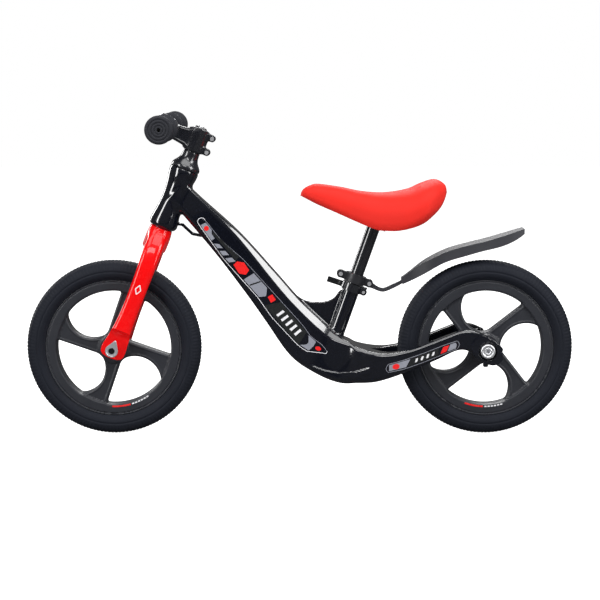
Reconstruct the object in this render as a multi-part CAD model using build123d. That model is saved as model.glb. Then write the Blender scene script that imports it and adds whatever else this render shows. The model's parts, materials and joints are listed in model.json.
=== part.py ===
from build123d import *
import math
import os

# Balance bike. Millimetres, +Z up, front towards -X, left side towards -Y.
# The origin is on the ground, midway between the two axles.

# ---- driving dimensions ----
wheel_radius = 145.0       # outside of the tyre
tyre_width = 46.0
rim_radius = 113.0         # where the tyre seats
rim_width = 34.0
wheelbase = 615.0
steer_tilt = 22.0          # steering axis, back from vertical
seat_tilt = 19.4           # seat tube, back from vertical
axle_radius = 5.0

fit = 0.05                 # radial clearance of nested and running parts
side_gap = 0.3             # free side play between parts that turn against each other

# wheels
opening_radius = 95.0      # outer edge of the four openings
hub_radius = 23.5
hub_width = 50.0
web_width = 28.0
blade_count = 4
rear_wheel_turn = -33.0    # rest angle of the rear wheel against the front one
bearing_radius = 13.0
bearing_width = 8.0

# steering
steerer_radius = 11.1
head_bottom = wheel_radius + 70.0    # along the steering axis, from the front axle
head_top = head_bottom + 103.0
head_bearing_radius = 17.0
head_bearing_height = 7.0
cone_height = 12.0
spacer_height = 20.0
spacer_radius = 13.8
stem_height = 41.0
stem_reach = 52.0          # steering axis to handlebar, square to the axis
stem_rise = 21.0           # handlebar centre above the stem's lower face
bar_radius = 11.1
bar_length = 372.0
grip_length = 120.0
grip_radius = 15.5
grip_flange = 22.5
fork_inner = 31.0          # half the gap between the fork blades
fork_outer = 51.0
fork_depth = 29.0
dropout_thickness = 8.0

# frame
stay_outer = 56.0
stay_inner = 33.0
rear_dropout_inner = 38.0
beam_half_width = 22.0
seat_tube_radius = 14.0
seat_tube_top = wheel_radius + 104.0     # height of the seat tube's rim
seat_tube_foot = wheel_radius - 20.0     # height of the bottom of its bore
tyre_room = 16.5           # between the rear tyre and the frame in front of it
post_radius = 11.1
post_wall = 1.8
post_insertion = 78.0
collar_height = 13.0
collar_wall = 4.0
clamp_height = 15.0
clamp_wall = 5.0
bolt_radius = 2.5
bolt_head_radius = 3.3
recess_radius = 15.0
recess_depth = 4.0
rear_head_radius = 11.8
rear_head_height = 8.0

# saddle
saddle_half_width = 70.0
saddle_nose_half_width = 25.0
saddle_base_thickness = 4.0
saddle_lip = 9.0           # how far the base plate sits above the pad's lower edge
saddle_rim = 8.0           # width of the pad's rim round the base plate
block_height = 6.0

# mudguard
mudguard_half_width = 27.0
mudguard_wall = 3.0
arm_half_width = 3.5
strap_half_width = 4.6
knuckle_radius = 6.0

front_axle_x = -wheelbase / 2
rear_axle_x = wheelbase / 2

# The outlines below are drawn for this wheelbase and wheel radius, and place() fits them to others.
drawn_wheelbase = 615.0
drawn_wheel_radius = 145.0
blend_length = 150.0       # the middle of the bike stretches, and what is further out keeps its shape


def place(points, lift_share=1.0):
    """Outline points in x and z, moved to where the axles and the head tube are."""
    grow = (wheelbase - drawn_wheelbase) / 2
    lift = wheel_radius - drawn_wheel_radius
    slope = math.radians(steer_tilt)
    placed = []
    for x, z in points:
        share = max(-1.0, min(1.0, x / blend_length))
        forward = max(0.0, -share) * lift
        new_x = x + grow * share + forward * math.sin(slope)
        new_z = z + lift * lift_share + forward * math.cos(slope)
        placed.append((new_x, new_z))
    return placed


def place_x(x):
    return place([(x, 0)])[0][0]


seat_axis_x, seat_axis_z = place([(80.8, 227.3)])[0]      # the seat axis passes through this point

steer = Plane(
    origin=(front_axle_x, 0, wheel_radius),
    x_dir=(math.cos(math.radians(steer_tilt)), 0, -math.sin(math.radians(steer_tilt))),
    z_dir=(math.sin(math.radians(steer_tilt)), 0, math.cos(math.radians(steer_tilt))),
)
seat_x_step = math.tan(math.radians(seat_tilt))


def seat_axis_at(height):
    return seat_axis_x + (height - seat_axis_z) * seat_x_step


# the seat frame starts at the centre of the seat tube's rim, z along the post
seat = Plane(
    origin=(seat_axis_at(seat_tube_top), 0, seat_tube_top),
    x_dir=(math.cos(math.radians(seat_tilt)), 0, -math.sin(math.radians(seat_tilt))),
    z_dir=(math.sin(math.radians(seat_tilt)), 0, math.cos(math.radians(seat_tilt))),
)


# ---- helpers ----
def rod(radius, low, high, x=0.0, y=0.0):
    """Cylinder along local z."""
    return Pos(x, y, (low + high) / 2) * Cylinder(radius, high - low)


def tube(outer, inner, low, high, x=0.0, y=0.0):
    return rod(outer, low, high, x, y) - rod(inner, low - 1, high + 1, x, y)


def cross_rod(radius, low, high, x=0.0, z=0.0):
    """Cylinder along y, centred on x and z."""
    return Pos(x, (low + high) / 2, z) * Rot(90, 0, 0) * Cylinder(radius, high - low)


def cross_tube(outer, inner, low, high, x=0.0, z=0.0):
    return cross_rod(outer, low, high, x, z) - cross_rod(inner, low - 1, high + 1, x, z)


def cross_hex(across, low, high, x=0.0, z=0.0):
    """Hexagonal prism along y."""
    outline = RegularPolygon(across / 2, 6, major_radius=False)
    prism = extrude(outline, high - low)
    return Pos(x, high, z) * Rot(90, 0, 0) * prism


def box_between(x0, x1, y0, y1, z0, z1):
    return Pos((x0 + x1) / 2, (y0 + y1) / 2, (z0 + z1) / 2) * Box(x1 - x0, y1 - y0, z1 - z0)


def turned(points, plane=Plane.XZ):
    """Solid of revolution about local z from (radius, height) points."""
    outline = make_face(Polyline(*points, close=True))
    return revolve(plane * outline, Axis.Z)


def slab(edges, low, high):
    """Plate from a closed outline in x and z, between two y values."""
    face = Plane.XZ * make_face(edges)
    return Pos(0, high, 0) * extrude(face, high - low, dir=(0, -1, 0))


def both_sides(make):
    """The same solid on the left and on the right."""
    return Compound(children=[make(-1), make(1)])


def span(side, inner, outer):
    """The y range between two distances from the middle, on one side."""
    return (inner, outer) if side > 0 else (-outer, -inner)


def on_circle(radius, degrees):
    return (radius * math.cos(math.radians(degrees)), radius * math.sin(math.radians(degrees)))


def to_wheel(x, turn=0.0):
    return Pos(x, 0, wheel_radius) * Rot(0, -turn, 0)


# ---- wheels ----
def opening_cutter():
    """One of the openings: a straight edge, the rim arc and a curved edge back to the hub."""
    heel = (9.6, -25.6)
    rim_start = -98.5
    rim_end = -35.0
    corner_a = on_circle(opening_radius, rim_start)
    corner_b = on_circle(opening_radius, rim_end)
    rim_middle = on_circle(opening_radius, (rim_start + rim_end) / 2)
    crown = (47.0, -16.3)
    toe = (17.5, -17.6)
    outline = make_face([
        Line(heel, corner_a),
        ThreePointArc(corner_a, rim_middle, corner_b),
        ThreePointArc(corner_b, crown, toe),
        Line(toe, heel),
    ])
    outline = fillet(outline.vertices(), 4.0)
    cutter = extrude(outline, hub_width / 2 + 5, both=True)
    return Rot(90, 0, 0) * cutter


def wheel_casting():
    half_rim = rim_width / 2
    half_web = web_width / 2
    half_hub = hub_width / 2
    profile = [
        (axle_radius + 1, 0), (axle_radius + 1, half_hub - bearing_width),
        (bearing_radius, half_hub - bearing_width), (bearing_radius, half_hub),
        (hub_radius - 2, half_hub), (hub_radius, half_hub - 2), (hub_radius, half_web),
        (opening_radius + 1, half_web), (opening_radius + 3, half_rim),
        (rim_radius - 2, half_rim), (rim_radius, half_rim - 2), (rim_radius, 0),
    ]
    profile += [(r, -z) for r, z in reversed(profile[1:-1])]
    casting = Rot(90, 0, 0) * turned(profile)
    cutter = opening_cutter()
    for i in range(blade_count):
        casting -= Rot(0, i * 360 / blade_count, 0) * cutter
    return casting


def tyre():
    half_seat = rim_width / 2
    half = tyre_width / 2
    seat_radius = rim_radius + fit
    shoulder = (wheel_radius - 12, half - 1)
    turn_in = (wheel_radius - 4, half * 0.64)
    edge = (wheel_radius - 1, half * 0.3)
    bulge = (rim_radius + 10, half)

    def mirrored(point):
        return (point[0], -point[1])

    flank = make_face([
        Line((seat_radius, -half_seat), (seat_radius, half_seat)),
        ThreePointArc((seat_radius, half_seat), bulge, shoulder),
        ThreePointArc(shoulder, turn_in, edge),
        ThreePointArc(edge, (wheel_radius, 0), mirrored(edge)),
        ThreePointArc(mirrored(edge), mirrored(turn_in), mirrored(shoulder)),
        ThreePointArc(mirrored(shoulder), mirrored(bulge), (seat_radius, -half_seat)),
    ])
    return Rot(90, 0, 0) * revolve(Plane.XZ * flank, Axis.Z)


def wheel_bearings():
    half = hub_width / 2

    def one(side):
        low, high = span(side, half - bearing_width, half)
        return cross_tube(bearing_radius - fit, axle_radius + fit, low, high)

    return both_sides(one)


def hub_spacer():
    half = hub_width / 2 - bearing_width
    return cross_tube(axle_radius + 1 - fit, axle_radius + fit, -half, half)


# ---- front axle ----
def front_axle():
    reach = fork_inner + dropout_thickness + 12
    return cross_rod(axle_radius, -reach, reach)


def axle_spacers(outer_face):
    low_face = hub_width / 2 + side_gap

    def one(side):
        low, high = span(side, low_face, outer_face)
        return cross_tube(9.0, axle_radius + fit, low, high)

    return both_sides(one)


washer_thickness = 2.0
nut_thickness = 7.0


def retention_washers():
    face = fork_inner + dropout_thickness

    def one(side):
        low, high = span(side, face, face + washer_thickness)
        plate = cross_rod(10.5, low, high) + box_between(-3.5, 3.5, low, high, 0, 19)
        plate += cross_rod(3.5, low, high, 0, 19)
        return plate - cross_rod(axle_radius + fit, low - 1, high + 1)

    return both_sides(one)


def front_nuts():
    face = fork_inner + dropout_thickness + washer_thickness

    def one(side):
        low, high = span(side, face, face + nut_thickness)
        return cross_hex(15.0, low, high) - cross_rod(axle_radius + fit, low - 1, high + 1)

    return both_sides(one)


# ---- fork and headset, in the steering frame ----
crown_top = head_bottom - 2.0
steerer_foot = wheel_radius + 23.0
race_height = 4.5


def fork():
    half = fork_depth / 2
    tip = 20.0
    side_view = make_face([
        ThreePointArc((-tip, 0), (0, -tip), (tip, 0)),
        Spline((tip, 0), (15.0, 22), (12.3, 50), (13.0, 90), (half, 150), (half + 1, 185)),
        Line((half + 1, 185), (17.5, crown_top)),
        Line((17.5, crown_top), (-17.5, crown_top)),
        Line((-17.5, crown_top), (-half - 1, 185)),
        Spline((-half - 1, 185), (-half, 150), (-13.0, 90), (-12.3, 50), (-15.0, 22), (-tip, 0)),
    ])
    plate = fork_inner + dropout_thickness
    arch = wheel_radius + 9
    front_view = make_face(Polyline(
        (fork_inner, -tip - 1), (fork_inner, arch - 22), (fork_inner - 9, arch - 4), (12, arch + 2),
        (-12, arch + 2), (9 - fork_inner, arch - 4), (-fork_inner, arch - 22), (-fork_inner, -tip - 1),
        (-plate, -tip - 1),
        (-plate, 24), (-fork_outer, 42), (-fork_outer, 150), (-44, 177), (-30, 197), (-17.5, 207),
        (-17.5, crown_top), (17.5, crown_top), (17.5, 207), (30, 197), (44, 177), (fork_outer, 150),
        (fork_outer, 42), (plate, 24), (plate, -tip - 1), close=True,
    ))
    legs = extrude(Plane.XZ * side_view, fork_outer + 5, both=True)
    legs &= extrude(Plane.YZ * front_view, tip + 5, both=True)
    legs -= rod(steerer_radius + fit, steerer_foot - 8, crown_top + 1)
    slot = cross_rod(axle_radius + fit, -60, 60)
    slot += Rot(0, 22, 0) * box_between(-axle_radius - fit, axle_radius + fit, -60, 60, -40, 0)
    return legs - slot


def fork_steerer():
    return tube(steerer_radius, steerer_radius - 2.0, steerer_foot, stem_top - 3)


def crown_race():
    collar_top = crown_top + race_height + 3.5
    low = crown_top
    return turned([
        (steerer_radius + fit, low), (16.5, low), (16.5, low + race_height),
        (12.4 - fit, low + race_height), (12.4 - fit, collar_top), (steerer_radius + fit, collar_top),
    ])


def head_bearing(low):
    return tube(head_bearing_radius - fit, 12.4, low, low + head_bearing_height)


lower_bearing_low = crown_top + race_height + side_gap
upper_bearing_low = head_top - 2.5 - head_bearing_height


def compression_ring():
    low = upper_bearing_low + 1.5
    return tube(12.4 - fit, steerer_radius + fit, low, head_top + side_gap)


cone_low = head_top + side_gap
cone_high = head_top + cone_height
stem_low = cone_high + spacer_height
stem_top = stem_low + stem_height


def headset_cone():
    return turned([
        (steerer_radius + fit, cone_low), (23.0, cone_low), (24.0, cone_low + 1), (24.0, cone_low + 3),
        (19.0, cone_low + 7), (spacer_radius + 0.7, cone_high), (steerer_radius + fit, cone_high),
    ])


def headset_spacer():
    return tube(spacer_radius, steerer_radius + fit, cone_high, stem_low)


# ---- stem and handlebar, in the steering frame ----
bar_height = stem_low + stem_rise
bar_clamp_radius = 17.0
stem_bolt_x = 23.5
stem_bolt_offsets = (6.5, 30.5)


def stem():
    body = rod(16.5, stem_low, stem_top)
    arm_top = bar_height + 14
    arm_bottom = bar_height - 13
    body += box_between(-stem_reach, 0, -15, 15, arm_bottom, arm_top)
    body += cross_rod(bar_clamp_radius, -20, 20, -stem_reach, bar_height)
    for offset in stem_bolt_offsets:
        height = stem_low + offset
        body += box_between(8, stem_bolt_x, -9, 9, height - 5.5, height + 5.5)
        body += cross_rod(5.5, -9, 9, stem_bolt_x, height)
    body -= box_between(-stem_reach - 30, -stem_reach, -30, 30, bar_height - 25, bar_height + 25)
    body -= rod(steerer_radius + fit, stem_low - 1, stem_top + 1)
    body -= cross_rod(bar_radius + fit, -30, 30, -stem_reach, bar_height)
    body -= box_between(0, 40, -0.8, 0.8, stem_low - 1, stem_top + 1)
    for offset in stem_bolt_offsets:
        body -= cross_rod(bolt_radius + fit, -12, 12, stem_bolt_x, stem_low + offset)
    for y, z in face_bolt_places():
        body -= face_bolt_shape(y, z, bolt_radius + fit)
    return body


def face_bolt_places():
    return [(y, bar_height + z) for y in (-14, 14) for z in (-13.8, 13.8)]


def face_bolt_shape(y, z, radius, head=0.0):
    """Bolt along local x, through the faceplate into the stem."""
    shank = Pos(-stem_reach - 4, y, z) * Rot(0, 90, 0) * Cylinder(radius, 22)
    if head:
        shank += Pos(-stem_reach - 16.5, y, z) * Rot(0, 90, 0) * Cylinder(head, 3)
    return shank


faceplate_gap = 1.0


def stem_faceplate():
    plate = cross_rod(bar_clamp_radius, -20, 20, -stem_reach, bar_height)
    plate += box_between(-stem_reach - 15, -stem_reach, -20, 20, bar_height - 18, bar_height + 18)
    plate -= box_between(-stem_reach - faceplate_gap, 0, -30, 30, bar_height - 25, bar_height + 25)
    plate -= cross_rod(bar_radius + fit, -30, 30, -stem_reach, bar_height)
    for y, z in face_bolt_places():
        plate -= face_bolt_shape(y, z, bolt_radius + fit)
    return plate


def stem_face_bolts():
    return Compound(children=[face_bolt_shape(y, z, bolt_radius, head=4.2) for y, z in face_bolt_places()])


def stem_pinch_bolts():
    bolts = []
    for offset in stem_bolt_offsets:
        height = stem_low + offset
        shank = cross_rod(bolt_radius, -9, 9, stem_bolt_x, height)
        head = cross_rod(bolt_head_radius, -13, -9, stem_bolt_x, height)
        nut = cross_hex(8.0, 9, 13, stem_bolt_x, height)
        bolts.append(shank + head + nut)
    return Compound(children=bolts)


def stem_top_cap():
    cap = rod(16.0, stem_top, stem_top + 3) + rod(steerer_radius - 2.3, stem_top - 8, stem_top)
    return cap - rod(bolt_radius + fit, stem_top - 20, stem_top + 5)


def stem_cap_bolt():
    return rod(bolt_radius, stem_top - 14, stem_top + 3) + rod(4.5, stem_top + 3, stem_top + 6)


def handlebar():
    half = bar_length / 2 - 2
    return cross_tube(bar_radius, bar_radius - 1.6, -half, half, -stem_reach, bar_height)


def grip(side):
    end = bar_length / 2 + 2
    start = end - grip_length
    profile = [
        (bar_radius + fit, start), (grip_flange - 1, start), (grip_flange - 0.3, start + 1.5),
        (grip_flange - 1, start + 4), (grip_radius, start + 5.5), (grip_radius, end - 10),
        (grip_flange - 1, end - 8), (grip_flange, end - 5), (grip_flange - 1.5, end - 1),
        (grip_flange - 4, end),
        (3, end), (3, end - 3.5), (bar_radius + fit, end - 3.5),
    ]
    shape = Rot(-90 * side, 0, 0) * turned(profile)
    return Pos(-stem_reach, 0, bar_height) * shape


# ---- frame ----
beam_top = place([(-190, 421), (-158.4, 389), (-98.7, 335), (-38.9, 269), (10.9, 213), (60.7, 167), (87, 153),
                  (125, 141.5), (150, 141), (190, 150), (246, 168), (285, 176), (308, 168)])
beam_bottom = place([(302, 126), (278, 141), (253, 144), (213, 125.5), (165.5, 105), (100.5, 90.4),
                     (59, 90.4), (9.2, 112), (-27.3, 145.5), (-65.5, 202), (-123.6, 284), (-165, 334),
                     (-205, 379.6)])
plan_edge = [(-205, beam_half_width - 4), (-40, beam_half_width), (60, 27), (110, 40), (150, 51),
             (190, stay_outer)]
frame_height = 600.0


def beam_and_stays():
    tail = place([(329, 143)])[0]
    outline = [
        Spline(*beam_top),
        ThreePointArc(beam_top[-1], tail, beam_bottom[0]),
        Spline(*beam_bottom),
        Line(beam_bottom[-1], beam_top[0]),
    ]
    side = slab(outline, -stay_outer, stay_outer)
    left = [(place_x(x), -y) for x, y in plan_edge]
    right = [(x, -y) for x, y in reversed(left)]
    back = rear_axle_x + 32.5
    top_outline = make_face([
        Line(right[-1], left[0]),
        Spline(*left),
        Line(left[-1], (back, -stay_outer)),
        Line((back, -stay_outer), (back, stay_outer)),
        Line((back, stay_outer), right[0]),
        Spline(*right),
    ])
    body = side & extrude(top_outline, frame_height)
    throat = rear_axle_x - wheel_radius - tyre_room + stay_inner
    slot = box_between(throat, back + 5, -stay_inner, stay_inner, 0, frame_height / 2)
    slot += Pos(throat, 0, frame_height / 4) * Cylinder(stay_inner, frame_height / 2)
    return body - slot


def dropout_boss(side):
    low, high = span(side, rear_dropout_inner, stay_outer)
    inner = span(side, stay_inner - 2, rear_dropout_inner)
    boss = cross_rod(21.0, low, high, rear_axle_x, wheel_radius)
    return boss, cross_rod(23.0, *inner, rear_axle_x, wheel_radius)


def head_tube_outer():
    return turned([
        (0, head_bottom), (19.0, head_bottom), (20.5, head_bottom + 1.5), (24.0, head_bottom + 7),
        (23.0, head_bottom + 13), (20.0, head_bottom + 26), (18.7, head_bottom + 47),
        (18.9, head_bottom + 62),
        (21.0, head_bottom + 82), (24.0, head_top - 8), (24.0, head_top - 1), (23.0, head_top), (0, head_top),
    ])


def gusset():
    top = place([(-16, 232), (8, 222.5), (25.8, 219.3), (45, 221), (57.5, 227), (65, 237), (73, 239)])
    low, heel = place([(58, 160), (36, 176)])
    outline = [Spline(*top), Line(top[-1], low), Line(low, heel), Line(heel, top[0])]
    return slab(outline, -4, 4)


def lock_loop():
    edge = [(-214, 352), (-200, 350), (-190, 345), (-177, 331), (-166, 328), (-158, 334), (-190, 372),
            (-214, 372)]
    inside = [(-199, 364), (-192, 351), (-177, 336.5), (-170, 335.5), (-165, 345), (-188, 368)]
    outer = make_face(Polyline(*place(edge), close=True))
    hole = make_face(Polyline(*place(inside), close=True))
    strap = extrude(Plane.XZ * outer, 5, both=True)
    return strap - extrude(Plane.XZ * hole, 8, both=True)


def frame_casting():
    body = beam_and_stays() + steer * head_tube_outer() + gusset() + lock_loop()
    foot = -(seat_tube_top - seat_tube_foot) / math.cos(math.radians(seat_tilt))
    body += seat * rod(seat_tube_radius, foot + 10, 0)
    for side in (-1, 1):
        boss, inner = dropout_boss(side)
        body = body - inner + boss
        low, high = span(side, stay_outer - recess_depth, stay_outer + 1)
        body -= cross_rod(recess_radius, low, high, rear_axle_x, wheel_radius)
    body -= cross_rod(axle_radius + fit, -80, 80, rear_axle_x, wheel_radius)
    body -= steer * rod(13.0, head_bottom - 5, head_top + 5)
    body -= steer * rod(head_bearing_radius, head_bottom - 5, lower_bearing_low + head_bearing_height)
    body -= steer * rod(head_bearing_radius, upper_bearing_low, head_top + 5)
    body -= seat * rod(post_radius + fit, foot, 5)
    return body


# ---- rear axle ----
def rear_axle():
    reach = stay_outer - recess_depth - 0.5
    return cross_rod(axle_radius, -reach, reach) - cross_rod(3 + fit, -reach - 1, reach + 1)


def rear_axle_bolts():
    face = stay_outer - recess_depth

    def one(side):
        head = cross_rod(rear_head_radius, *span(side, face, face + rear_head_height))
        shank = cross_rod(3.0, *span(side, face - 22, face))
        socket = cross_hex(6.0, *span(side, face + rear_head_height - 4, face + rear_head_height + 1))
        return head + shank - socket

    return both_sides(one)


# ---- seat group, in the seat frame ----
ear_x = seat_tube_radius + 5.5
clamp_ears = (-25.5, 24.5)
clamp_gap = 1.0
clamp_low = 2.0 + clamp_gap
clamp_high = clamp_low + clamp_height
clamp_radius = post_radius + 0.3
clamp_bolt_z = (clamp_low + clamp_high) / 2
collar_low = -collar_height + 1.5
collar_ear_z = -5.5
ear_half = seat_tube_radius - 2.5
skewer_radius = 2.5


def seat_clamp_collar():
    outer = seat_tube_radius + collar_wall
    ring = rod(outer, collar_low, 1.5)
    ring += box_between(12, ear_x, -ear_half, ear_half, collar_low + 1, 0.5)
    ring += cross_rod(5.9, -ear_half, ear_half, ear_x, collar_ear_z)
    ring -= rod(seat_tube_radius + fit, collar_low - 1, 0)
    ring -= rod(post_radius + 0.3, -1, 5)
    ring -= box_between(0, 40, -1, 1, collar_low - 1, 5)
    return ring - cross_rod(skewer_radius + fit, -20, 20, ear_x, collar_ear_z)


def seat_clamp_skewer():
    return cross_rod(skewer_radius, -ear_half - 6, cam_y + 1.5, ear_x, collar_ear_z)


def seat_clamp_nut():
    nut = cross_rod(5.5, -ear_half - 5, -ear_half, ear_x, collar_ear_z)
    return nut - cross_rod(skewer_radius + fit, -20, 0, ear_x, collar_ear_z)


cam_y = ear_half + 8.5
cam_pin_radius = 4.0
cam_half_height = 5.5
lever_slot = skewer_radius + side_gap


def quick_release_washer():
    return cross_tube(5.5, skewer_radius + fit, ear_half, ear_half + 1.5, ear_x, collar_ear_z)


def quick_release_pin():
    pin = rod(cam_pin_radius, collar_ear_z - cam_half_height, collar_ear_z + cam_half_height, ear_x, cam_y)
    return pin - cross_rod(skewer_radius + fit, 0, cam_y + 2, ear_x, collar_ear_z)


def quick_release_lever():
    """Hub round the cam pin with a slot for the skewer, and an arm forward past the tube."""
    mid = collar_ear_z
    hub = rod(6.6, mid - cam_half_height, mid + cam_half_height, ear_x, cam_y)
    arm_edges = [
        Line((ear_x, cam_y + 6.4), (8, cam_y + 9.5)),
        ThreePointArc((8, cam_y + 9.5), (-17, cam_y + 10.5), (-41, cam_y + 6)),
        Line((-41, cam_y + 6), (-42, cam_y + 2.5)),
        ThreePointArc((-42, cam_y + 2.5), (-17, cam_y + 6.5), (8, cam_y + 4.5)),
        Line((8, cam_y + 4.5), (ear_x - 5, cam_y - 3)),
        Line((ear_x - 5, cam_y - 3), (ear_x, cam_y + 6.4)),
    ]
    arm = Pos(0, 0, mid - 6.8) * extrude(make_face(arm_edges), 9.6)
    slot = box_between(ear_x - lever_slot, ear_x + 10, cam_y - 12, cam_y + 12,
                       mid - lever_slot, mid + lever_slot)
    bore = rod(cam_pin_radius + fit, mid - 9, mid + 9, ear_x, cam_y)
    return hub + arm - slot - bore


def mudguard_clamp_half(side):
    """Half of the clamp round the post, with an ear at the front and one at the back."""
    outer = post_radius + clamp_wall + 1.0
    half = rod(outer, clamp_low, clamp_high)
    for x in clamp_ears:
        root = math.copysign(12, x)
        half += box_between(min(x, root), max(x, root), -8, 8, clamp_bolt_z - 6, clamp_bolt_z + 6)
        half += cross_rod(6.5, -8, 8, x, clamp_bolt_z)
    half -= rod(clamp_radius, clamp_low - 1, clamp_high + 1)
    half &= box_between(-60, 60, *span(side, 0.5, 40), clamp_low, clamp_high)
    for x in clamp_ears:
        half -= cross_rod(bolt_radius + fit, -20, 20, x, clamp_bolt_z)
    room = arm_half_width + side_gap
    pivot = clamp_ears[1]
    arm_room = cross_rod(knuckle_radius + 1.0, -room, room, pivot, clamp_bolt_z)
    arm_room += box_between(pivot - 3, 60, -room, room, clamp_low - 5, clamp_high + 5)
    return half - arm_room


def clamp_bolt(x):
    bolt = cross_rod(bolt_radius, -8, 8, x, clamp_bolt_z) + cross_rod(bolt_head_radius, -11, -8, x, clamp_bolt_z)
    return bolt + cross_hex(8.0, 8, 12, x, clamp_bolt_z)


flange_top = 106.0
flange_thickness = 3.0
flange_half_length = 22.0
flange_half_width = 18.0
saddle_screw_radius = 2.0


def saddle_screw_places():
    return [(x, y) for x in (-16, 16) for y in (-13.5, 13.5)]


def seatpost():
    return tube(post_radius, post_radius - post_wall, -post_insertion, flange_top - flange_thickness)


def seatpost_flange():
    low = flange_top - flange_thickness
    plate = box_between(-flange_half_length, flange_half_length, -flange_half_width, flange_half_width,
                        low, flange_top)
    for x, y in saddle_screw_places():
        plate -= rod(saddle_screw_radius + fit, low - 1, flange_top + 1, x, y)
    return plate


def saddle_screws():
    low = flange_top - flange_thickness
    screws = [rod(saddle_screw_radius, low, flange_top + 5, x, y) + rod(3.8, low - 2.2, low, x, y)
              for x, y in saddle_screw_places()]
    return Compound(children=screws)


# ---- saddle ----
saddle_shift = (seat_axis_x - 80.8, wheel_radius - drawn_wheel_radius)


def beside_post(points):
    """Saddle points, moved with the seat tube."""
    return [(x + saddle_shift[0], z + saddle_shift[1]) for x, z in points]


saddle_top = beside_post([(1.4, 396), (17, 413), (30, 416), (66.5, 410.7), (103, 403.5), (139.6, 401.5),
                          (176, 407), (200, 417), (222, 423), (238, 415), (242, 402)])
saddle_bottom = beside_post([(242, 402), (231, 378), (214, 360), (194, 344.6), (176, 335.4), (158, 331),
                             (139.6, 331.4), (121, 335.4), (75.6, 357.5), (30, 381), (1.4, 396)])


def saddle_plan(inset=0.0):
    nose = saddle_nose_half_width - inset
    back = saddle_half_width - inset
    start = 1.0 + inset
    end = 243.0 - inset
    points = [(start, 0), (start + 4, nose * 0.62), (start + 22, nose), (80, nose + 6), (130, back * 0.7),
              (175, back * 0.95), (210, back), (end - 8, back * 0.6), (end, 0)]
    left = [(x + saddle_shift[0], y) for x, y in points]
    right = [(x, -y) for x, y in reversed(left)]
    return make_face([Spline(*left), Spline(*right)])


def saddle_pad():
    pad = slab([Spline(*saddle_top), Spline(*saddle_bottom)], -saddle_half_width - 5, saddle_half_width + 5)
    pad &= extrude(saddle_plan(), 600)
    return pad - saddle_pocket(side_gap)


def saddle_band(lift, thickness):
    """Plate that follows the saddle's underside, lifted above it."""
    low = beside_post([(24, 386), (75.6, 358), (118, 337.5), (140, 333), (160, 333), (178, 338), (200, 351.5),
                       (214, 364)])
    bottom = [(x, z + lift) for x, z in low]
    top = [(x, z + lift + thickness) for x, z in reversed(low)]
    outline = [Spline(*bottom), Line(bottom[-1], top[0]), Spline(*top), Line(top[-1], bottom[0])]
    return slab(outline, -saddle_half_width, saddle_half_width)


def saddle_pocket(gap):
    """The room under and around the base plate and its mounting block."""
    depth = 60
    room = saddle_band(-depth, depth + saddle_lip + saddle_base_thickness + gap)
    room &= extrude(saddle_plan(inset=saddle_rim - gap), 600)
    return room + seat * mounting_block(gap, flange_top - 10)


def mounting_block(gap, low):
    """Flat block of the base plate that the flange bolts against."""
    x = flange_half_length + 2 + gap
    y = flange_half_width + 2 + gap
    return box_between(-x, x, -y, y, low, flange_top + block_height + gap)


def saddle_base():
    base = saddle_band(saddle_lip, saddle_base_thickness) & extrude(saddle_plan(inset=saddle_rim), 600)
    base += seat * mounting_block(0, flange_top)
    base -= seat * box_between(-flange_half_length - 2, flange_half_length + 2, -flange_half_width - 2,
                               flange_half_width + 2, flange_top - 40, flange_top)
    for x, y in saddle_screw_places():
        base -= seat * rod(saddle_screw_radius + fit, flange_top - 1, flange_top + block_height + 5, x, y)
    return base


# ---- mudguard ----
over_tyre = 2.0            # the mudguard rises with the top of the tyre, twice as fast as the axle
mudguard_top = place([(166, 259.5), (183, 271.5), (202, 285.5), (221, 296), (244, 306.6), (267, 313.6),
                      (314, 325.4), (355.5, 338.3), (372, 343.5)], over_tyre)
mudguard_skirt = place([(372, 337), (348.5, 321), (325, 312.4), (302, 307), (267, 297), (239, 288),
                        (211, 272), (185.5, 257), (170, 250)], over_tyre)
mudguard_shift = mudguard_wall * 1.2      # the shell's wall, measured straight down


def mudguard_plan(inset):
    root = 8.5 - inset
    full = mudguard_half_width - inset
    start = 168.0 - inset
    end = 369.0 - inset
    edge = [(start, -root), (186, -root - 2), (215, -full * 0.86), (245, -full), (330, -full),
            (end, -full * 0.72)]
    left = [(place_x(x), y) for x, y in edge]
    right = [(x, -y) for x, y in reversed(left)]
    return make_face([Spline(*left), Line(left[-1], right[0]), Spline(*right), Line(right[-1], left[0])])


def mudguard_slab(shift):
    top = [(x, z - shift) for x, z in mudguard_top]
    skirt = [(x, z - shift * 3) for x, z in mudguard_skirt]
    edges = [Spline(*top), Line(top[-1], skirt[0]), Spline(*skirt), Line(skirt[-1], top[0])]
    return slab(edges, -mudguard_half_width - 2, mudguard_half_width + 2)


def mudguard_screw(x, z, radius, head=0.0):
    """Screw square to the mudguard's root."""
    place = Pos(x, 0, z) * Rot(0, -mudguard_root_slope, 0)
    shape = rod(radius, -9.6, -1)
    if head:
        shape += rod(head, -11.1, -9.6)
    return place * shape


mudguard_root_slope = 36.0
mudguard_screw_places = place([(173.5, 264.5), (182.0, 270.7)], over_tyre)
screw_radius = 1.5


def mudguard():
    shell = mudguard_slab(0) & extrude(mudguard_plan(0), 600)
    shell -= mudguard_slab(mudguard_shift) & extrude(mudguard_plan(mudguard_wall), 600)
    for x, z in mudguard_screw_places:
        shell -= mudguard_screw(x, z, screw_radius + fit)
    return shell


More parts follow.
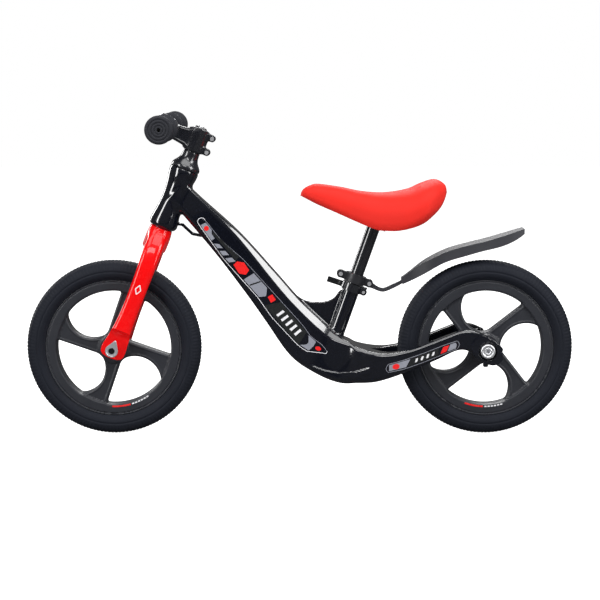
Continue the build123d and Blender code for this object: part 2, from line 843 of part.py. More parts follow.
def mudguard_arm():
    """Knuckle on the clamp's rear bolt, then a strap that dips and runs up inside the mudguard."""
    pivot = seat.from_local_coords((clamp_ears[1], 0, clamp_bolt_z))
    px, pz = pivot.X, pivot.Z
    dip_high, dip_low = place([(138, 243), (138, 237)])
    rise_high, rise_low = place([(148, 246.5), (149.5, 240.5)], (1 + over_tyre) / 2)
    root_high = place([(166, 254.9), (184, 266.9)], over_tyre)
    root_low = place([(187, 263.0), (169, 250.6)], over_tyre)
    high = [(px + 2, pz + 5), (px + 12, pz - 4), dip_high, rise_high, *root_high]
    low = [*root_low, rise_low, dip_low, (px + 8, pz - 9.5), (px - 2, pz - 6)]
    edges = [Spline(*high), Line(high[-1], low[0]), Spline(*low), Line(low[-1], high[0])]
    strap = slab(edges, -arm_half_width, arm_half_width)
    behind_clamp = box_between(px + 14, px + 104, -10, 10, pz - 60, pz + 100)
    strap += slab(edges, -strap_half_width, strap_half_width) & behind_clamp
    strap += cross_rod(knuckle_radius, -arm_half_width, arm_half_width, px, pz)
    strap -= cross_rod(bolt_radius + fit, -20, 20, px, pz)
    for x, z in mudguard_screw_places:
        strap -= mudguard_screw(x, z, screw_radius + fit)
    return strap


def mudguard_screws():
    return Compound(children=[mudguard_screw(x, z, screw_radius, head=2.8) for x, z in mudguard_screw_places])


def save(name, shape):
    os.makedirs("parts", exist_ok=True)
    export_step(shape, f"parts/{name}.step")


def make_wheels():
    for name, x, turn in (("front", front_axle_x, 0.0), ("rear", rear_axle_x, rear_wheel_turn)):
        place = to_wheel(x, turn)
        save(f"{name}_wheel_casting", place * wheel_casting())
        save(f"{name}_tyre", place * tyre())
        save(f"{name}_wheel_bearings", place * wheel_bearings())
        save(f"{name}_hub_spacer", place * hub_spacer())


def make_frame():
    save("frame_casting", frame_casting())
    save("lower_head_bearing", steer * head_bearing(lower_bearing_low))
    save("upper_head_bearing", steer * head_bearing(upper_bearing_low))
    rear = Pos(rear_axle_x, 0, wheel_radius)
    save("rear_axle", rear * rear_axle())
    save("rear_axle_spacers", rear * axle_spacers(rear_dropout_inner))
    save("rear_axle_bolts", Pos(rear_axle_x, 0, wheel_radius) * rear_axle_bolts())


def make_steering():
    front = Pos(front_axle_x, 0, wheel_radius)
    save("front_axle", front * front_axle())
    save("front_axle_spacers", front * axle_spacers(fork_inner))
    save("retention_washers", steer * retention_washers())
    save("front_axle_nuts", steer * front_nuts())
    save("fork", steer * fork())
    save("fork_steerer", steer * fork_steerer())
    save("crown_race", steer * crown_race())
    save("compression_ring", steer * compression_ring())
    save("headset_cone", steer * headset_cone())
    save("headset_spacer", steer * headset_spacer())
    save("stem", steer * stem())
    save("stem_faceplate", steer * stem_faceplate())
    save("stem_face_bolts", steer * stem_face_bolts())
    save("stem_pinch_bolts", steer * stem_pinch_bolts())
    save("stem_top_cap", steer * stem_top_cap())
    save("stem_cap_bolt", steer * stem_cap_bolt())
    save("handlebar", steer * handlebar())
    save("grip_left", steer * grip(-1))
    save("grip_right", steer * grip(1))


def make_seat():
    save("seat_clamp_collar", seat * seat_clamp_collar())
    save("quick_release_skewer", seat * seat_clamp_skewer())
    save("quick_release_nut", seat * seat_clamp_nut())
    save("quick_release_washer", seat * quick_release_washer())
    save("quick_release_pin", seat * quick_release_pin())
    save("quick_release_lever", seat * quick_release_lever())
    save("mudguard_clamp_left", seat * mudguard_clamp_half(-1))
    save("mudguard_clamp_right", seat * mudguard_clamp_half(1))
    save("mudguard_clamp_bolt", seat * clamp_bolt(clamp_ears[0]))
    save("mudguard_pivot_bolt", seat * clamp_bolt(clamp_ears[1]))
    save("seatpost", seat * seatpost())
    save("seatpost_flange", seat * seatpost_flange())
    save("saddle_screws", seat * saddle_screws())
    save("saddle_base", saddle_base())
    save("saddle_pad", saddle_pad())


def make_mudguard():
    save("mudguard_arm", mudguard_arm())
    save("mudguard", mudguard())
    save("mudguard_screws", mudguard_screws())


make_wheels()
make_frame()
make_steering()
make_seat()
make_mudguard()
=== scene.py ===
import json
import math
import bmesh
import bpy
import numpy as np
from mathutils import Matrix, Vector


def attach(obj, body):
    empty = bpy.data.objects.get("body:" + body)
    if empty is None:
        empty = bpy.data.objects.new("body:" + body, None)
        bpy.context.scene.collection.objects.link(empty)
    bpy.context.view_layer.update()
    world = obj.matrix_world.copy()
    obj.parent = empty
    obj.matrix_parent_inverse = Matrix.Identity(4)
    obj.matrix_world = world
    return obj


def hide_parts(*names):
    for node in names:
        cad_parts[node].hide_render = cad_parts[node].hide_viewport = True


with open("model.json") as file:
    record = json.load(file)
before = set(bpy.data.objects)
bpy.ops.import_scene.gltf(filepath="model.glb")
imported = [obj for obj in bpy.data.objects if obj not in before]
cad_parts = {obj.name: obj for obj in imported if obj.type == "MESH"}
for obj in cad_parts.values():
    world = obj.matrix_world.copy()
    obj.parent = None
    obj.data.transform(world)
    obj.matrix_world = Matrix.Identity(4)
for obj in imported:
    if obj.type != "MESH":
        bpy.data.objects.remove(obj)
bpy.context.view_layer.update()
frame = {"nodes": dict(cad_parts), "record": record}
mm = 0.001

# the bike's main places in millimetres, as in the frame: front towards -X, left side towards -Y
bike = {
    "wheelRadius": 145.0,
    "frontAxle": -307.5,
    "rearAxle": 307.5,
    "steerTilt": math.radians(22.0),
    "seatTilt": math.radians(19.4),
    "seatRim": (80.8 + (249.0 - 227.3) * math.tan(math.radians(19.4)), 249.0),
}


# small helpers
def smoothMin(a, b, k):
    h = np.maximum(k - np.abs(a - b), 0.0) / k
    return np.minimum(a, b) - h * h * k * 0.25


def smoothMax(a, b, k):
    return -smoothMin(-a, -b, k)


def roundedBox(up, out, corner):
    # distance to a box with rounded corners, from how far past its sides a point is before rounding
    return np.hypot(np.maximum(up, 0), np.maximum(out, 0)) + np.minimum(np.maximum(up, out), 0) - corner


def swollen(total, power, size):
    # distance to a superellipse whose terms add up to total
    return (np.maximum(total, 1e-6) ** (1 / power) - 1) * size


def curveThrough(points, count):
    # Catmull-Rom curve through rows of numbers, evenly sampled
    p = np.array(points, float)
    p = np.vstack([2 * p[0] - p[1], p, 2 * p[-1] - p[-2]])
    rows = []
    perSpan = max(4, count // (len(points) - 1) + 1)
    for i in range(1, len(p) - 2):
        t = np.linspace(0, 1, perSpan, endpoint=False)[:, None]
        a, b, c, d = p[i - 1], p[i], p[i + 1], p[i + 2]
        rows.append(0.5 * (2 * b + (c - a) * t + (2 * a - 5 * b + 4 * c - d) * t ** 2
                           + (3 * b - a - 3 * c + d) * t ** 3))
    rows = np.vstack(rows + [p[-2][None]])
    walked = np.concatenate([[0], np.cumsum(np.hypot(*np.diff(rows[:, :2], axis=0).T))])
    even = np.linspace(0, walked[-1], count)
    return np.stack([np.interp(even, walked, rows[:, i]) for i in range(rows.shape[1])], 1), even


class Spine:
    # a plane curve that carries extra values; tells how far along and how far off it any point is
    def __init__(self, points, count=900):
        self.rows, self.walked = curveThrough(points, count)
        self.step = self.walked[1]
        along = np.gradient(self.rows[:, :2], self.step, axis=0)
        self.along = along / np.hypot(along[:, 0], along[:, 1])[:, None]

    def place(self, u, v):
        u, v = np.broadcast_arrays(np.asarray(u, float), np.asarray(v, float))
        coarse = self.rows[::12]
        flatU, flatV = u.ravel(), v.ravel()
        near = np.empty(flatU.size)
        for i in range(0, flatU.size, 40000):
            part = slice(i, i + 40000)
            gap = (flatU[part, None] - coarse[:, 0]) ** 2 + (flatV[part, None] - coarse[:, 1]) ** 2
            near[part] = gap.argmin(1) * 12
        index = np.arange(len(self.rows))
        for _ in range(6):
            cu, cv, tu, tv = (np.interp(near, index, col) for col in (*self.rows[:, :2].T, *self.along.T))
            near = np.clip(near + ((flatU - cu) * tu + (flatV - cv) * tv) / self.step, 0, index[-1])
        cu, cv, tu, tv = (np.interp(near, index, col) for col in (*self.rows[:, :2].T, *self.along.T))
        offU, offV = flatU - cu, flatV - cv
        side = -offU * tv + offV * tu
        past = offU * tu + offV * tv
        return near.reshape(u.shape), side.reshape(u.shape), past.reshape(u.shape)

    def value(self, near, column):
        return np.interp(near, np.arange(len(self.rows)), self.rows[:, column])


def distanceToPath(u, v, points):
    best = None
    for (u0, v0), (u1, v1) in zip(points, points[1:]):
        du, dv = u1 - u0, v1 - v0
        t = np.clip(((u - u0) * du + (v - v0) * dv) / (du * du + dv * dv), 0, 1)
        gap = np.hypot(u - u0 - t * du, v - v0 - t * dv)
        best = gap if best is None else np.minimum(best, gap)
    return best


def distanceToOutline(u, v, outline):
    # signed distance to a closed outline, negative inside
    u, v = np.broadcast_arrays(u, v)
    inside = np.zeros(u.shape, bool)
    for (u0, v0), (u1, v1) in zip(outline, np.roll(outline, -1, axis=0)):
        if v0 != v1:
            crosses = (v0 > v) != (v1 > v)
            inside ^= crosses & (u < (u1 - u0) * (v - v0) / (v1 - v0) + u0)
    gap = distanceToPath(u, v, list(outline) + [outline[0]])
    return np.where(inside, -gap, gap)


def spread(points, count):
    p = np.array(points, float)
    walked = np.concatenate([[0], np.cumsum(np.hypot(*np.diff(p, axis=0).T))])
    even = np.linspace(0, walked[-1], count)
    return np.stack([np.interp(even, walked, p[:, i]) for i in range(2)], 1)


def toSteering(x, z):
    # global x and z to the steering frame: back from the axis, and up along it from the front axle
    dx, dz = x - bike["frontAxle"], z - bike["wheelRadius"]
    c, s = math.cos(bike["steerTilt"]), math.sin(bike["steerTilt"])
    return dx * c - dz * s, dx * s + dz * c


def fromSteering(back, up):
    c, s = math.cos(bike["steerTilt"]), math.sin(bike["steerTilt"])
    return bike["frontAxle"] + back * c + up * s, bike["wheelRadius"] - back * s + up * c


def toSeat(x, z):
    dx, dz = x - bike["seatRim"][0], z - bike["seatRim"][1]
    c, s = math.cos(bike["seatTilt"]), math.sin(bike["seatTilt"])
    return dx * c - dz * s, dx * s + dz * c


def newObject(name, verts, faces, smooth=True):
    mesh = bpy.data.meshes.new(name)
    mesh.from_pydata([tuple(v) for v in verts], [], [tuple(int(i) for i in f) for f in faces])
    mesh.validate()
    mesh.update()
    if smooth:
        mesh.shade_smooth()
    piece = bpy.data.objects.new(name, mesh)
    bpy.context.collection.objects.link(piece)
    return piece


def slideOnto(points, field, rounds, limit):
    # moves points along the field's slope until they lie on its surface
    for _ in range(rounds):
        h = 0.05
        value = field(*points.T)
        slope = slopeOf(field, points, h)
        size = np.maximum((slope ** 2).sum(1), 0.05)
        move = -slope * (value / size)[:, None]
        length = np.maximum(np.linalg.norm(move, axis=1), 1e-9)
        points = points + move * np.minimum(1, limit / length)[:, None]
    return points


def slopeOf(field, points, h):
    x, y, z = points.T
    return np.stack([field(x + h, y, z) - field(x - h, y, z), field(x, y + h, z) - field(x, y - h, z),
                     field(x, y, z + h) - field(x, y, z - h)], 1) / (2 * h)


def skinOf(field, low, high, step, relax=2):
    # one point in each grid cell that the surface crosses, joined into quads and slid onto the surface
    axes = [np.arange(l, h + step, step) for l, h in zip(low, high)]
    inside = np.empty([len(a) for a in axes], bool)
    for i in range(0, len(axes[0]), 24):
        part = axes[0][i:i + 24]
        inside[i:i + 24] = field(part[:, None, None], axes[1][None, :, None], axes[2][None, None, :]) < 0
    total = sum(inside[a:len(axes[0]) - 1 + a, b:len(axes[1]) - 1 + b, c:len(axes[2]) - 1 + c].astype(np.int8)
                for a in (0, 1) for b in (0, 1) for c in (0, 1))
    active = (total > 0) & (total < 8)
    index = np.full(active.shape, -1, np.int64)
    index[active] = np.arange(active.sum())
    points = np.array(low) + (np.argwhere(active) + 0.5) * step
    quads = []
    for axis in range(3):
        a, b = [np.moveaxis(m, axis, 0) for m in (inside, index)]
        change = a[:-1, 1:-1, 1:-1] != a[1:, 1:-1, 1:-1]
        i, j, k = np.argwhere(change).T
        ring = np.stack([b[i, j, k], b[i, j + 1, k], b[i, j + 1, k + 1], b[i, j, k + 1]], 1)
        flip = a[i, j + 1, k + 1] == (axis == 1)
        ring[flip] = ring[flip][:, ::-1]
        quads.append(ring)
    quads = np.vstack(quads)
    points = slideOnto(points, field, 4, step)
    edges = np.vstack([quads[:, [0, 1]], quads[:, [1, 2]], quads[:, [2, 3]], quads[:, [3, 0]]])
    for _ in range(relax):
        gathered = np.zeros_like(points)
        count = np.zeros(len(points))
        for s, t in ((0, 1), (1, 0)):
            np.add.at(gathered, edges[:, s], points[edges[:, t]])
            np.add.at(count, edges[:, s], 1)
        points = 0.5 * points + 0.5 * gathered / count[:, None]
        points = slideOnto(points, field, 2, step)
    slope = slopeOf(field, points, 0.4)
    return points, slope / np.maximum(np.linalg.norm(slope, axis=1), 1e-6)[:, None], quads


def pieceFrom(name, skin, x=0.0, z=0.0, turn=0.0):
    # lays a skin in the bike's frame, turned about y, with the field's own normals for smooth gloss
    points, normals, quads = skin
    c, s = math.cos(turn), math.sin(turn)

    def turned(p):
        return np.stack([p[:, 0] * c - p[:, 2] * s, p[:, 1], p[:, 0] * s + p[:, 2] * c], 1)

    piece = newObject(name, (turned(points) + [x, 0, z]) * mm, quads)
    piece.data.normals_split_custom_set_from_vertices([tuple(n) for n in turned(normals)])
    print(name, len(quads), "faces")
    return piece


def lathe(name, profile, segments, place):
    # turns (radius, along) points round the y axis; place maps millimetres to millimetres
    profile = np.array(profile, float)
    turn = np.linspace(0, 2 * math.pi, segments, endpoint=False)
    x = profile[:, 0][None] * np.cos(turn)[:, None]
    z = profile[:, 0][None] * np.sin(turn)[:, None]
    y = np.broadcast_to(profile[:, 1][None], x.shape)
    verts = place(np.stack([x, y, z], -1).reshape(-1, 3))
    n = len(profile)
    faces = [(i * n + j, i * n + (j + 1) % n, (i + 1) % segments * n + (j + 1) % n, (i + 1) % segments * n + j)
             for i in range(segments) for j in range(n)]
    piece = newObject(name, verts * mm, faces)
    outward(piece)
    return piece


def outward(piece):
    work = bmesh.new()
    work.from_mesh(piece.data)
    bmesh.ops.recalc_face_normals(work, faces=work.faces)
    work.to_mesh(piece.data)
    work.free()


# camera, floor and lights
studio = {
    "target": (0.0006, 0.0, 0.2228),
    "distance": 3.0,
    "elevation": math.radians(7.0),
    "lens": 108.6,
    "fill": 0.10,
    # name, place, aimed at, width, height, power
    "lamps": [
        ("topSoft", (0.1, -0.5, 2.0), (0.1, 0, 0.2), 2.2, 1.0, 24),
        ("ridgeSoft", (2.0, -0.95, 1.65), (0, 0, 0.25), 0.9, 1.0, 30),
        ("leftStrip", (-2.2, -1.7, 1.3), (0, 0, 0.35), 0.55, 2.4, 52),
        ("rightStrip", (2.3, -1.9, 0.8), (0, 0, 0.25), 0.3, 1.5, 16),
        ("frontFill", (0.0, -2.4, 2.5), (0, 0, 0.25), 1.6, 0.8, 30),
        ("backFill", (0.2, 2.5, 2.0), (0, 0, 0.25), 1.6, 0.8, 40),
        ("backStrip", (-2.0, 1.9, 0.9), (0, 0, 0.25), 0.35, 1.6, 20),
    ],
}


def makePaper():
    # white paper that shows as white but throws only a dim reflection onto gloss paint
    paper = bpy.data.materials.new("floorPaper")
    paper.use_nodes = True
    tree = paper.node_tree
    shader = tree.nodes["Principled BSDF"]
    shader.inputs["Roughness"].default_value = 0.95
    shader.inputs["Specular IOR Level"].default_value = 0.0
    path = tree.nodes.new("ShaderNodeLightPath")
    mix = tree.nodes.new("ShaderNodeMix")
    mix.data_type = "RGBA"
    tree.links.new(path.outputs["Is Glossy Ray"], mix.inputs["Factor"])
    mix.inputs[6].default_value = (0.50, 0.50, 0.50, 1)
    mix.inputs[7].default_value = (0.07, 0.07, 0.07, 1)
    tree.links.new(mix.outputs[2], shader.inputs["Base Color"])
    glow = addMath(tree, "MULTIPLY", path.outputs["Is Camera Ray"], 1.1)
    tree.links.new(glow, shader.inputs["Emission Strength"])
    shader.inputs["Emission Color"].default_value = (1, 1, 1, 1)
    return paper


def makeStudio():
    aim = Vector(studio["target"])
    lift = studio["elevation"]
    away = Vector((0, -math.cos(lift), math.sin(lift))) * studio["distance"]
    camera = bpy.data.objects.new("camera", bpy.data.cameras.new("camera"))
    camera.data.lens = studio["lens"]
    camera.data.sensor_width = 36.0
    camera.location = aim + away
    camera.rotation_euler = (-away).to_track_quat("-Z", "Y").to_euler()
    bpy.context.collection.objects.link(camera)
    bpy.context.scene.camera = camera
    floor = newObject("floor", [(-9, -9, 0), (9, -9, 0), (9, 9, 0), (-9, 9, 0)], [(0, 1, 2, 3)], smooth=False)
    floor.data.materials.append(makePaper())
    world = bpy.data.worlds.new("world")
    world.use_nodes = True
    tree = world.node_tree
    back = tree.nodes["Background"]
    path = tree.nodes.new("ShaderNodeLightPath")
    span = tree.nodes.new("ShaderNodeMapRange")
    span.inputs["To Min"].default_value = studio["fill"]
    span.inputs["To Max"].default_value = 1.0
    tree.links.new(path.outputs["Is Camera Ray"], span.inputs["Value"])
    tree.links.new(span.outputs["Result"], back.inputs["Strength"])
    back.inputs["Color"].default_value = (1, 1, 1, 1)
    bpy.context.scene.world = world
    for name, place, aimAt, wide, tall, power in studio["lamps"]:
        lamp = bpy.data.lights.new(name, "AREA")
        lamp.shape = "RECTANGLE"
        lamp.size = wide
        lamp.size_y = tall
        lamp.energy = power
        holder = bpy.data.objects.new(name, lamp)
        holder.location = place
        holder.rotation_euler = (Vector(aimAt) - Vector(place)).to_track_quat("-Z", "Y").to_euler()
        holder.visible_camera = False
        bpy.context.collection.objects.link(holder)
    bpy.context.scene.view_settings.view_transform = "Standard"
    print("studio ready")


# materials
def makeGroup(name, inputs, output, outputKind="NodeSocketFloat"):
    group = bpy.data.node_groups.new(name, "ShaderNodeTree")
    for label, kind, value in inputs:
        socket = group.interface.new_socket(label, in_out="INPUT", socket_type=kind)
        socket.default_value = value
    group.interface.new_socket(output, in_out="OUTPUT", socket_type=outputKind)
    return group, group.nodes.new("NodeGroupInput"), group.nodes.new("NodeGroupOutput")


def addMath(tree, operation, a, b=None, c=None):
    node = tree.nodes.new("ShaderNodeMath")
    node.operation = operation
    for slot, value in enumerate((a, b, c)):
        if value is None:
            continue
        if isinstance(value, (int, float)):
            node.inputs[slot].default_value = value
        else:
            tree.links.new(value, node.inputs[slot])
    return node.outputs[0]


def addNoise(tree, scale, detail=3.0, rough=0.55):
    where = tree.nodes.new("ShaderNodeTexCoord")
    noise = tree.nodes.new("ShaderNodeTexNoise")
    tree.links.new(where.outputs["Object"], noise.inputs["Vector"])
    noise.inputs["Detail"].default_value = detail
    noise.inputs["Roughness"].default_value = rough
    if isinstance(scale, (int, float)):
        noise.inputs["Scale"].default_value = scale
    else:
        tree.links.new(scale, noise.inputs["Scale"])
    return noise.outputs["Fac"]


def mouldGrainGroup():
    # fine cells of a moulded or painted skin, as a height
    group, start, end = makeGroup("mouldGrain", [
        ("Cells", "NodeSocketFloat", 900.0), ("Waviness", "NodeSocketFloat", 0.5)], "Height")
    where = group.nodes.new("ShaderNodeTexCoord")
    cells = group.nodes.new("ShaderNodeTexVoronoi")
    cells.feature = "SMOOTH_F1"
    group.links.new(where.outputs["Object"], cells.inputs["Vector"])
    group.links.new(start.outputs["Cells"], cells.inputs["Scale"])
    wave = addNoise(group, 60.0, 2.0)
    mixed = addMath(group, "MULTIPLY_ADD", wave, start.outputs["Waviness"], cells.outputs["Distance"])
    group.links.new(mixed, end.inputs["Height"])
    return group


def dustGroup():
    # light dust that settles on what faces up, broken by noise
    group, start, end = makeGroup("dust", [("Amount", "NodeSocketFloat", 0.1)], "Mask")
    shape = group.nodes.new("ShaderNodeNewGeometry")
    split = group.nodes.new("ShaderNodeSeparateXYZ")
    group.links.new(shape.outputs["Normal"], split.inputs["Vector"])
    upward = addMath(group, "MULTIPLY_ADD", split.outputs["Z"], 0.5, 0.5)
    patch = addNoise(group, 38.0, 6.0, 0.65)
    spread = addMath(group, "MULTIPLY", upward, patch)
    masked = addMath(group, "MULTIPLY", spread, start.outputs["Amount"])
    group.links.new(masked, end.inputs["Mask"])
    return group


def edgeWearGroup():
    # lighter, rubbed edges
    group, start, end = makeGroup("edgeWear", [("Amount", "NodeSocketFloat", 0.5)], "Mask")
    shape = group.nodes.new("ShaderNodeNewGeometry")
    sharp = addMath(group, "SUBTRACT", shape.outputs["Pointiness"], 0.53)
    strong = addMath(group, "MULTIPLY", sharp, 7.0)
    broken = addMath(group, "MULTIPLY", strong, addNoise(group, 120.0, 4.0))
    held = addMath(group, "MINIMUM", addMath(group, "MAXIMUM", broken, 0.0), 1.0)
    group.links.new(addMath(group, "MULTIPLY", held, start.outputs["Amount"]), end.inputs["Mask"])
    return group


makeStudio()
groups = {"mouldGrain": mouldGrainGroup(), "dust": dustGroup(), "edgeWear": edgeWearGroup()}


def placeGroup(tree, name, **values):
    node = tree.nodes.new("ShaderNodeGroup")
    node.node_tree = groups[name]
    for key, value in values.items():
        node.inputs[key].default_value = value
    return node.outputs[0]


# what most finishes share, and what the prints share; each finish gives only what differs
commonFinish = {"coat": 0.0, "coatRough": 0.3, "wear": 0.0, "metal": 0.0, "spec": 0.5, "sheen": 0.0}
printFinish = {"rough": (0.22, 0.34), "coat": 0.4, "coatRough": 0.1, "cells": 900.0, "bump": 0.01, "dust": 0.01}
finishes = {
    "frameGloss": {"color": (0.0022, 0.003, 0.0062), "tint": (0.0036, 0.0044, 0.0085), "rough": (0.1, 0.18),
                   "coat": 1.0, "coatRough": 0.02, "cells": 260.0, "bump": 0.001, "dust": 0.003, "wear": 0.02},
    "forkGloss": {"color": (0.8, 0.0025, 0.003), "tint": (0.73, 0.002, 0.003), "rough": (0.22, 0.32),
                  "coat": 0.6, "coatRough": 0.04, "cells": 260.0, "bump": 0.001, "dust": 0.001, "wear": 0.01,
                  "spec": 0.12},
    "blackAlloy": {"color": (0.0055, 0.006, 0.009), "tint": (0.009, 0.01, 0.014), "rough": (0.22, 0.32),
                   "coat": 0.8, "coatRough": 0.08, "cells": 700.0, "bump": 0.015, "dust": 0.006, "wear": 0.2},
    "postGloss": {"color": (0.006, 0.0065, 0.009), "tint": (0.012, 0.013, 0.016), "rough": (0.14, 0.26),
                  "coat": 0.9, "coatRough": 0.04, "cells": 300.0, "bump": 0.003, "dust": 0.005, "wear": 0.08},
    "wheelPlastic": {"color": (0.014, 0.0155, 0.021), "tint": (0.022, 0.024, 0.031), "rough": (0.36, 0.5),
                     "cells": 1100.0, "bump": 0.08, "dust": 0.02, "wear": 0.35},
    "tyreFoam": {"color": (0.0065, 0.008, 0.013), "tint": (0.01, 0.012, 0.019), "rough": (0.6, 0.78),
                 "cells": 1500.0, "bump": 0.18, "dust": 0.012, "wear": 0.3, "spec": 0.16},
    "guardPlastic": {"color": (0.022, 0.023, 0.029), "tint": (0.032, 0.033, 0.04), "rough": (0.4, 0.54),
                     "cells": 1000.0, "bump": 0.1, "dust": 0.03, "wear": 0.25},
    "blackPlastic": {"color": (0.005, 0.0052, 0.008), "tint": (0.008, 0.0085, 0.012), "rough": (0.36, 0.5),
                     "cells": 1000.0, "bump": 0.08, "dust": 0.02, "wear": 0.25},
    "gripRubber": {"color": (0.014, 0.015, 0.02), "tint": (0.022, 0.023, 0.029), "rough": (0.56, 0.74),
                   "cells": 1300.0, "bump": 0.14, "dust": 0.012, "wear": 0.25, "spec": 0.2},
    "saddleSkin": {"color": (0.72, 0.024, 0.016), "tint": (0.66, 0.021, 0.014), "rough": (0.52, 0.66),
                   "cells": 1400.0, "bump": 0.12, "dust": 0.008, "sheen": 0.02, "spec": 0.1},
    "zincSteel": {"color": (0.86, 0.87, 0.9), "tint": (0.66, 0.67, 0.7), "rough": (0.26, 0.42), "cells": 900.0,
                  "bump": 0.04, "dust": 0.0, "wear": 0.2, "metal": 0.8},
    "groundSteel": {"color": (0.6, 0.6, 0.62), "tint": (0.5, 0.5, 0.52), "rough": (0.22, 0.34), "cells": 1400.0,
                    "bump": 0.04, "dust": 0.0, "wear": 0.2, "metal": 1.0},
    # steel darkened as painted shade, for the crown race and the front axle's end inside its nuts
    "steelPaintedShade": {"color": (0.05, 0.05, 0.055), "tint": (0.035, 0.035, 0.04), "rough": (0.34, 0.46),
                  "cells": 1200.0, "bump": 0.03, "dust": 0.01, "wear": 0.2, "metal": 1.0},
    "printRed": {**printFinish, "color": (0.8, 0.012, 0.012), "tint": (0.7, 0.01, 0.01)},
    "printGrey": {**printFinish, "color": (0.27, 0.28, 0.32), "tint": (0.21, 0.22, 0.26)},
    "printDark": {**printFinish, "color": (0.01, 0.011, 0.012), "tint": (0.016, 0.018, 0.018)},
    "printWhite": {**printFinish, "color": (0.8, 0.8, 0.82), "tint": (0.72, 0.72, 0.75), "rough": (0.24, 0.36)},
}


def mixColor(tree, factor, a, b):
    node = tree.nodes.new("ShaderNodeMix")
    node.data_type = "RGBA"
    tree.links.new(factor, node.inputs["Factor"])
    for socket, value in ((node.inputs[6], a), (node.inputs[7], b)):
        if isinstance(value, tuple):
            socket.default_value = (*value, 1)
        else:
            tree.links.new(value, socket)
    return node.outputs[2]


def makeFinish(name):
    look = {**commonFinish, **finishes[name]}
    material = bpy.data.materials.new(name)
    material.use_nodes = True
    tree = material.node_tree
    shader = tree.nodes["Principled BSDF"]
    patches = addNoise(tree, 24.0, 5.0)
    color = mixColor(tree, patches, look["color"], look["tint"])
    pale = tuple(min(1.0, c * 1.6 + 0.05) for c in look["color"])
    color = mixColor(tree, placeGroup(tree, "edgeWear", Amount=look["wear"]), color, pale)
    color = mixColor(tree, placeGroup(tree, "dust", Amount=look["dust"]), color, (0.42, 0.41, 0.40))
    tree.links.new(color, shader.inputs["Base Color"])
    low, high = look["rough"]
    rough = addMath(tree, "MULTIPLY_ADD", addNoise(tree, 70.0, 6.0, 0.6), high - low, low)
    tree.links.new(rough, shader.inputs["Roughness"])
    bump = tree.nodes.new("ShaderNodeBump")
    bump.inputs["Strength"].default_value = look["bump"]
    bump.inputs["Distance"].default_value = 0.0006
    tree.links.new(placeGroup(tree, "mouldGrain", Cells=look["cells"]), bump.inputs["Height"])
    tree.links.new(bump.outputs["Normal"], shader.inputs["Normal"])
    shader.inputs["Coat Weight"].default_value = look["coat"]
    shader.inputs["Coat Roughness"].default_value = look["coatRough"]
    shader.inputs["Metallic"].default_value = look["metal"]
    shader.inputs["Specular IOR Level"].default_value = look["spec"]
    shader.inputs["Sheen Weight"].default_value = look["sheen"]
    shader.inputs["Sheen Roughness"].default_value = 0.4
    return material


materials = {name: makeFinish(name) for name in finishes}
print("materials ready")


def dress(piece, finish):
    piece.data.materials.clear()
    piece.data.materials.append(materials[finish])


def fit(piece, body, finish, slot, *nodes):
    # gives a new piece its finish and its body, and hides the CAD nodes that it stands for
    dress(piece, finish)
    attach(piece, body)
    if nodes:
        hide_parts(*nodes)


# frame
frameSkin = {
    # x, z, half height, half width, middle of the half width, edge facet
    "beam": [(-198, 400.5, 19, 17, 0, 1.5), (-173, 374.6, 20.6, 19, 0, 2.0), (-117.5, 317, 26, 20.5, 0, 4.0),
             (-61.4, 249.2, 30, 22, 0, 7.0), (-27.6, 206.1, 33, 23, 0, 7.5), (10.7, 160.7, 38.5, 24.5, 0, 7.5),
             (39.8, 137, 36.5, 27, 0, 5.5), (72, 122.4, 35, 33.5, 0.5, 3.0), (95.7, 118.2, 29.5, 30, 12, 3.5),
             (122.5, 117, 25, 24, 27, 3.0), (152, 121.4, 19.8, 13, 42, 2.5), (189.5, 132.6, 16.2, 11, 44.7, 2.0),
             (221, 145.3, 15.3, 10.5, 45.2, 2.0), (249, 157.6, 14.2, 9.5, 46, 2.0), (268, 162.5, 16, 9, 46.6, 2.0),
             (285, 160, 17.5, 9, 46.8, 2.0), (300, 153, 18, 9, 46.9, 2.0)],
    "headTube": [(215, 20.5), (221, 23.6), (233, 22.4), (250, 19.8), (268, 18.8), (288, 20.2), (303, 23.0),
                 (312, 24.0), (318, 23.4)],
    "gusset": [(-16, 232), (8, 222.5), (25.8, 219.3), (45, 221), (57.5, 227), (65, 237), (73, 239)],
    "crease": [(16, 119), (21.7, 116.5), (43.5, 108.8), (65.6, 106), (91.3, 108.8), (113.2, 116.5), (124, 119),
               (118, 107), (92, 98), (66, 95), (42, 98), (20, 108)],
    "strap": [(-204, 350), (-193, 348), (-177, 333), (-163, 330)],
    "seatTube": 14.0, "seatBore": 11.5, "axleBore": 5.05, "wheelRoom": 33.0, "stayOuter": 55.9, "step": 1.7,
}


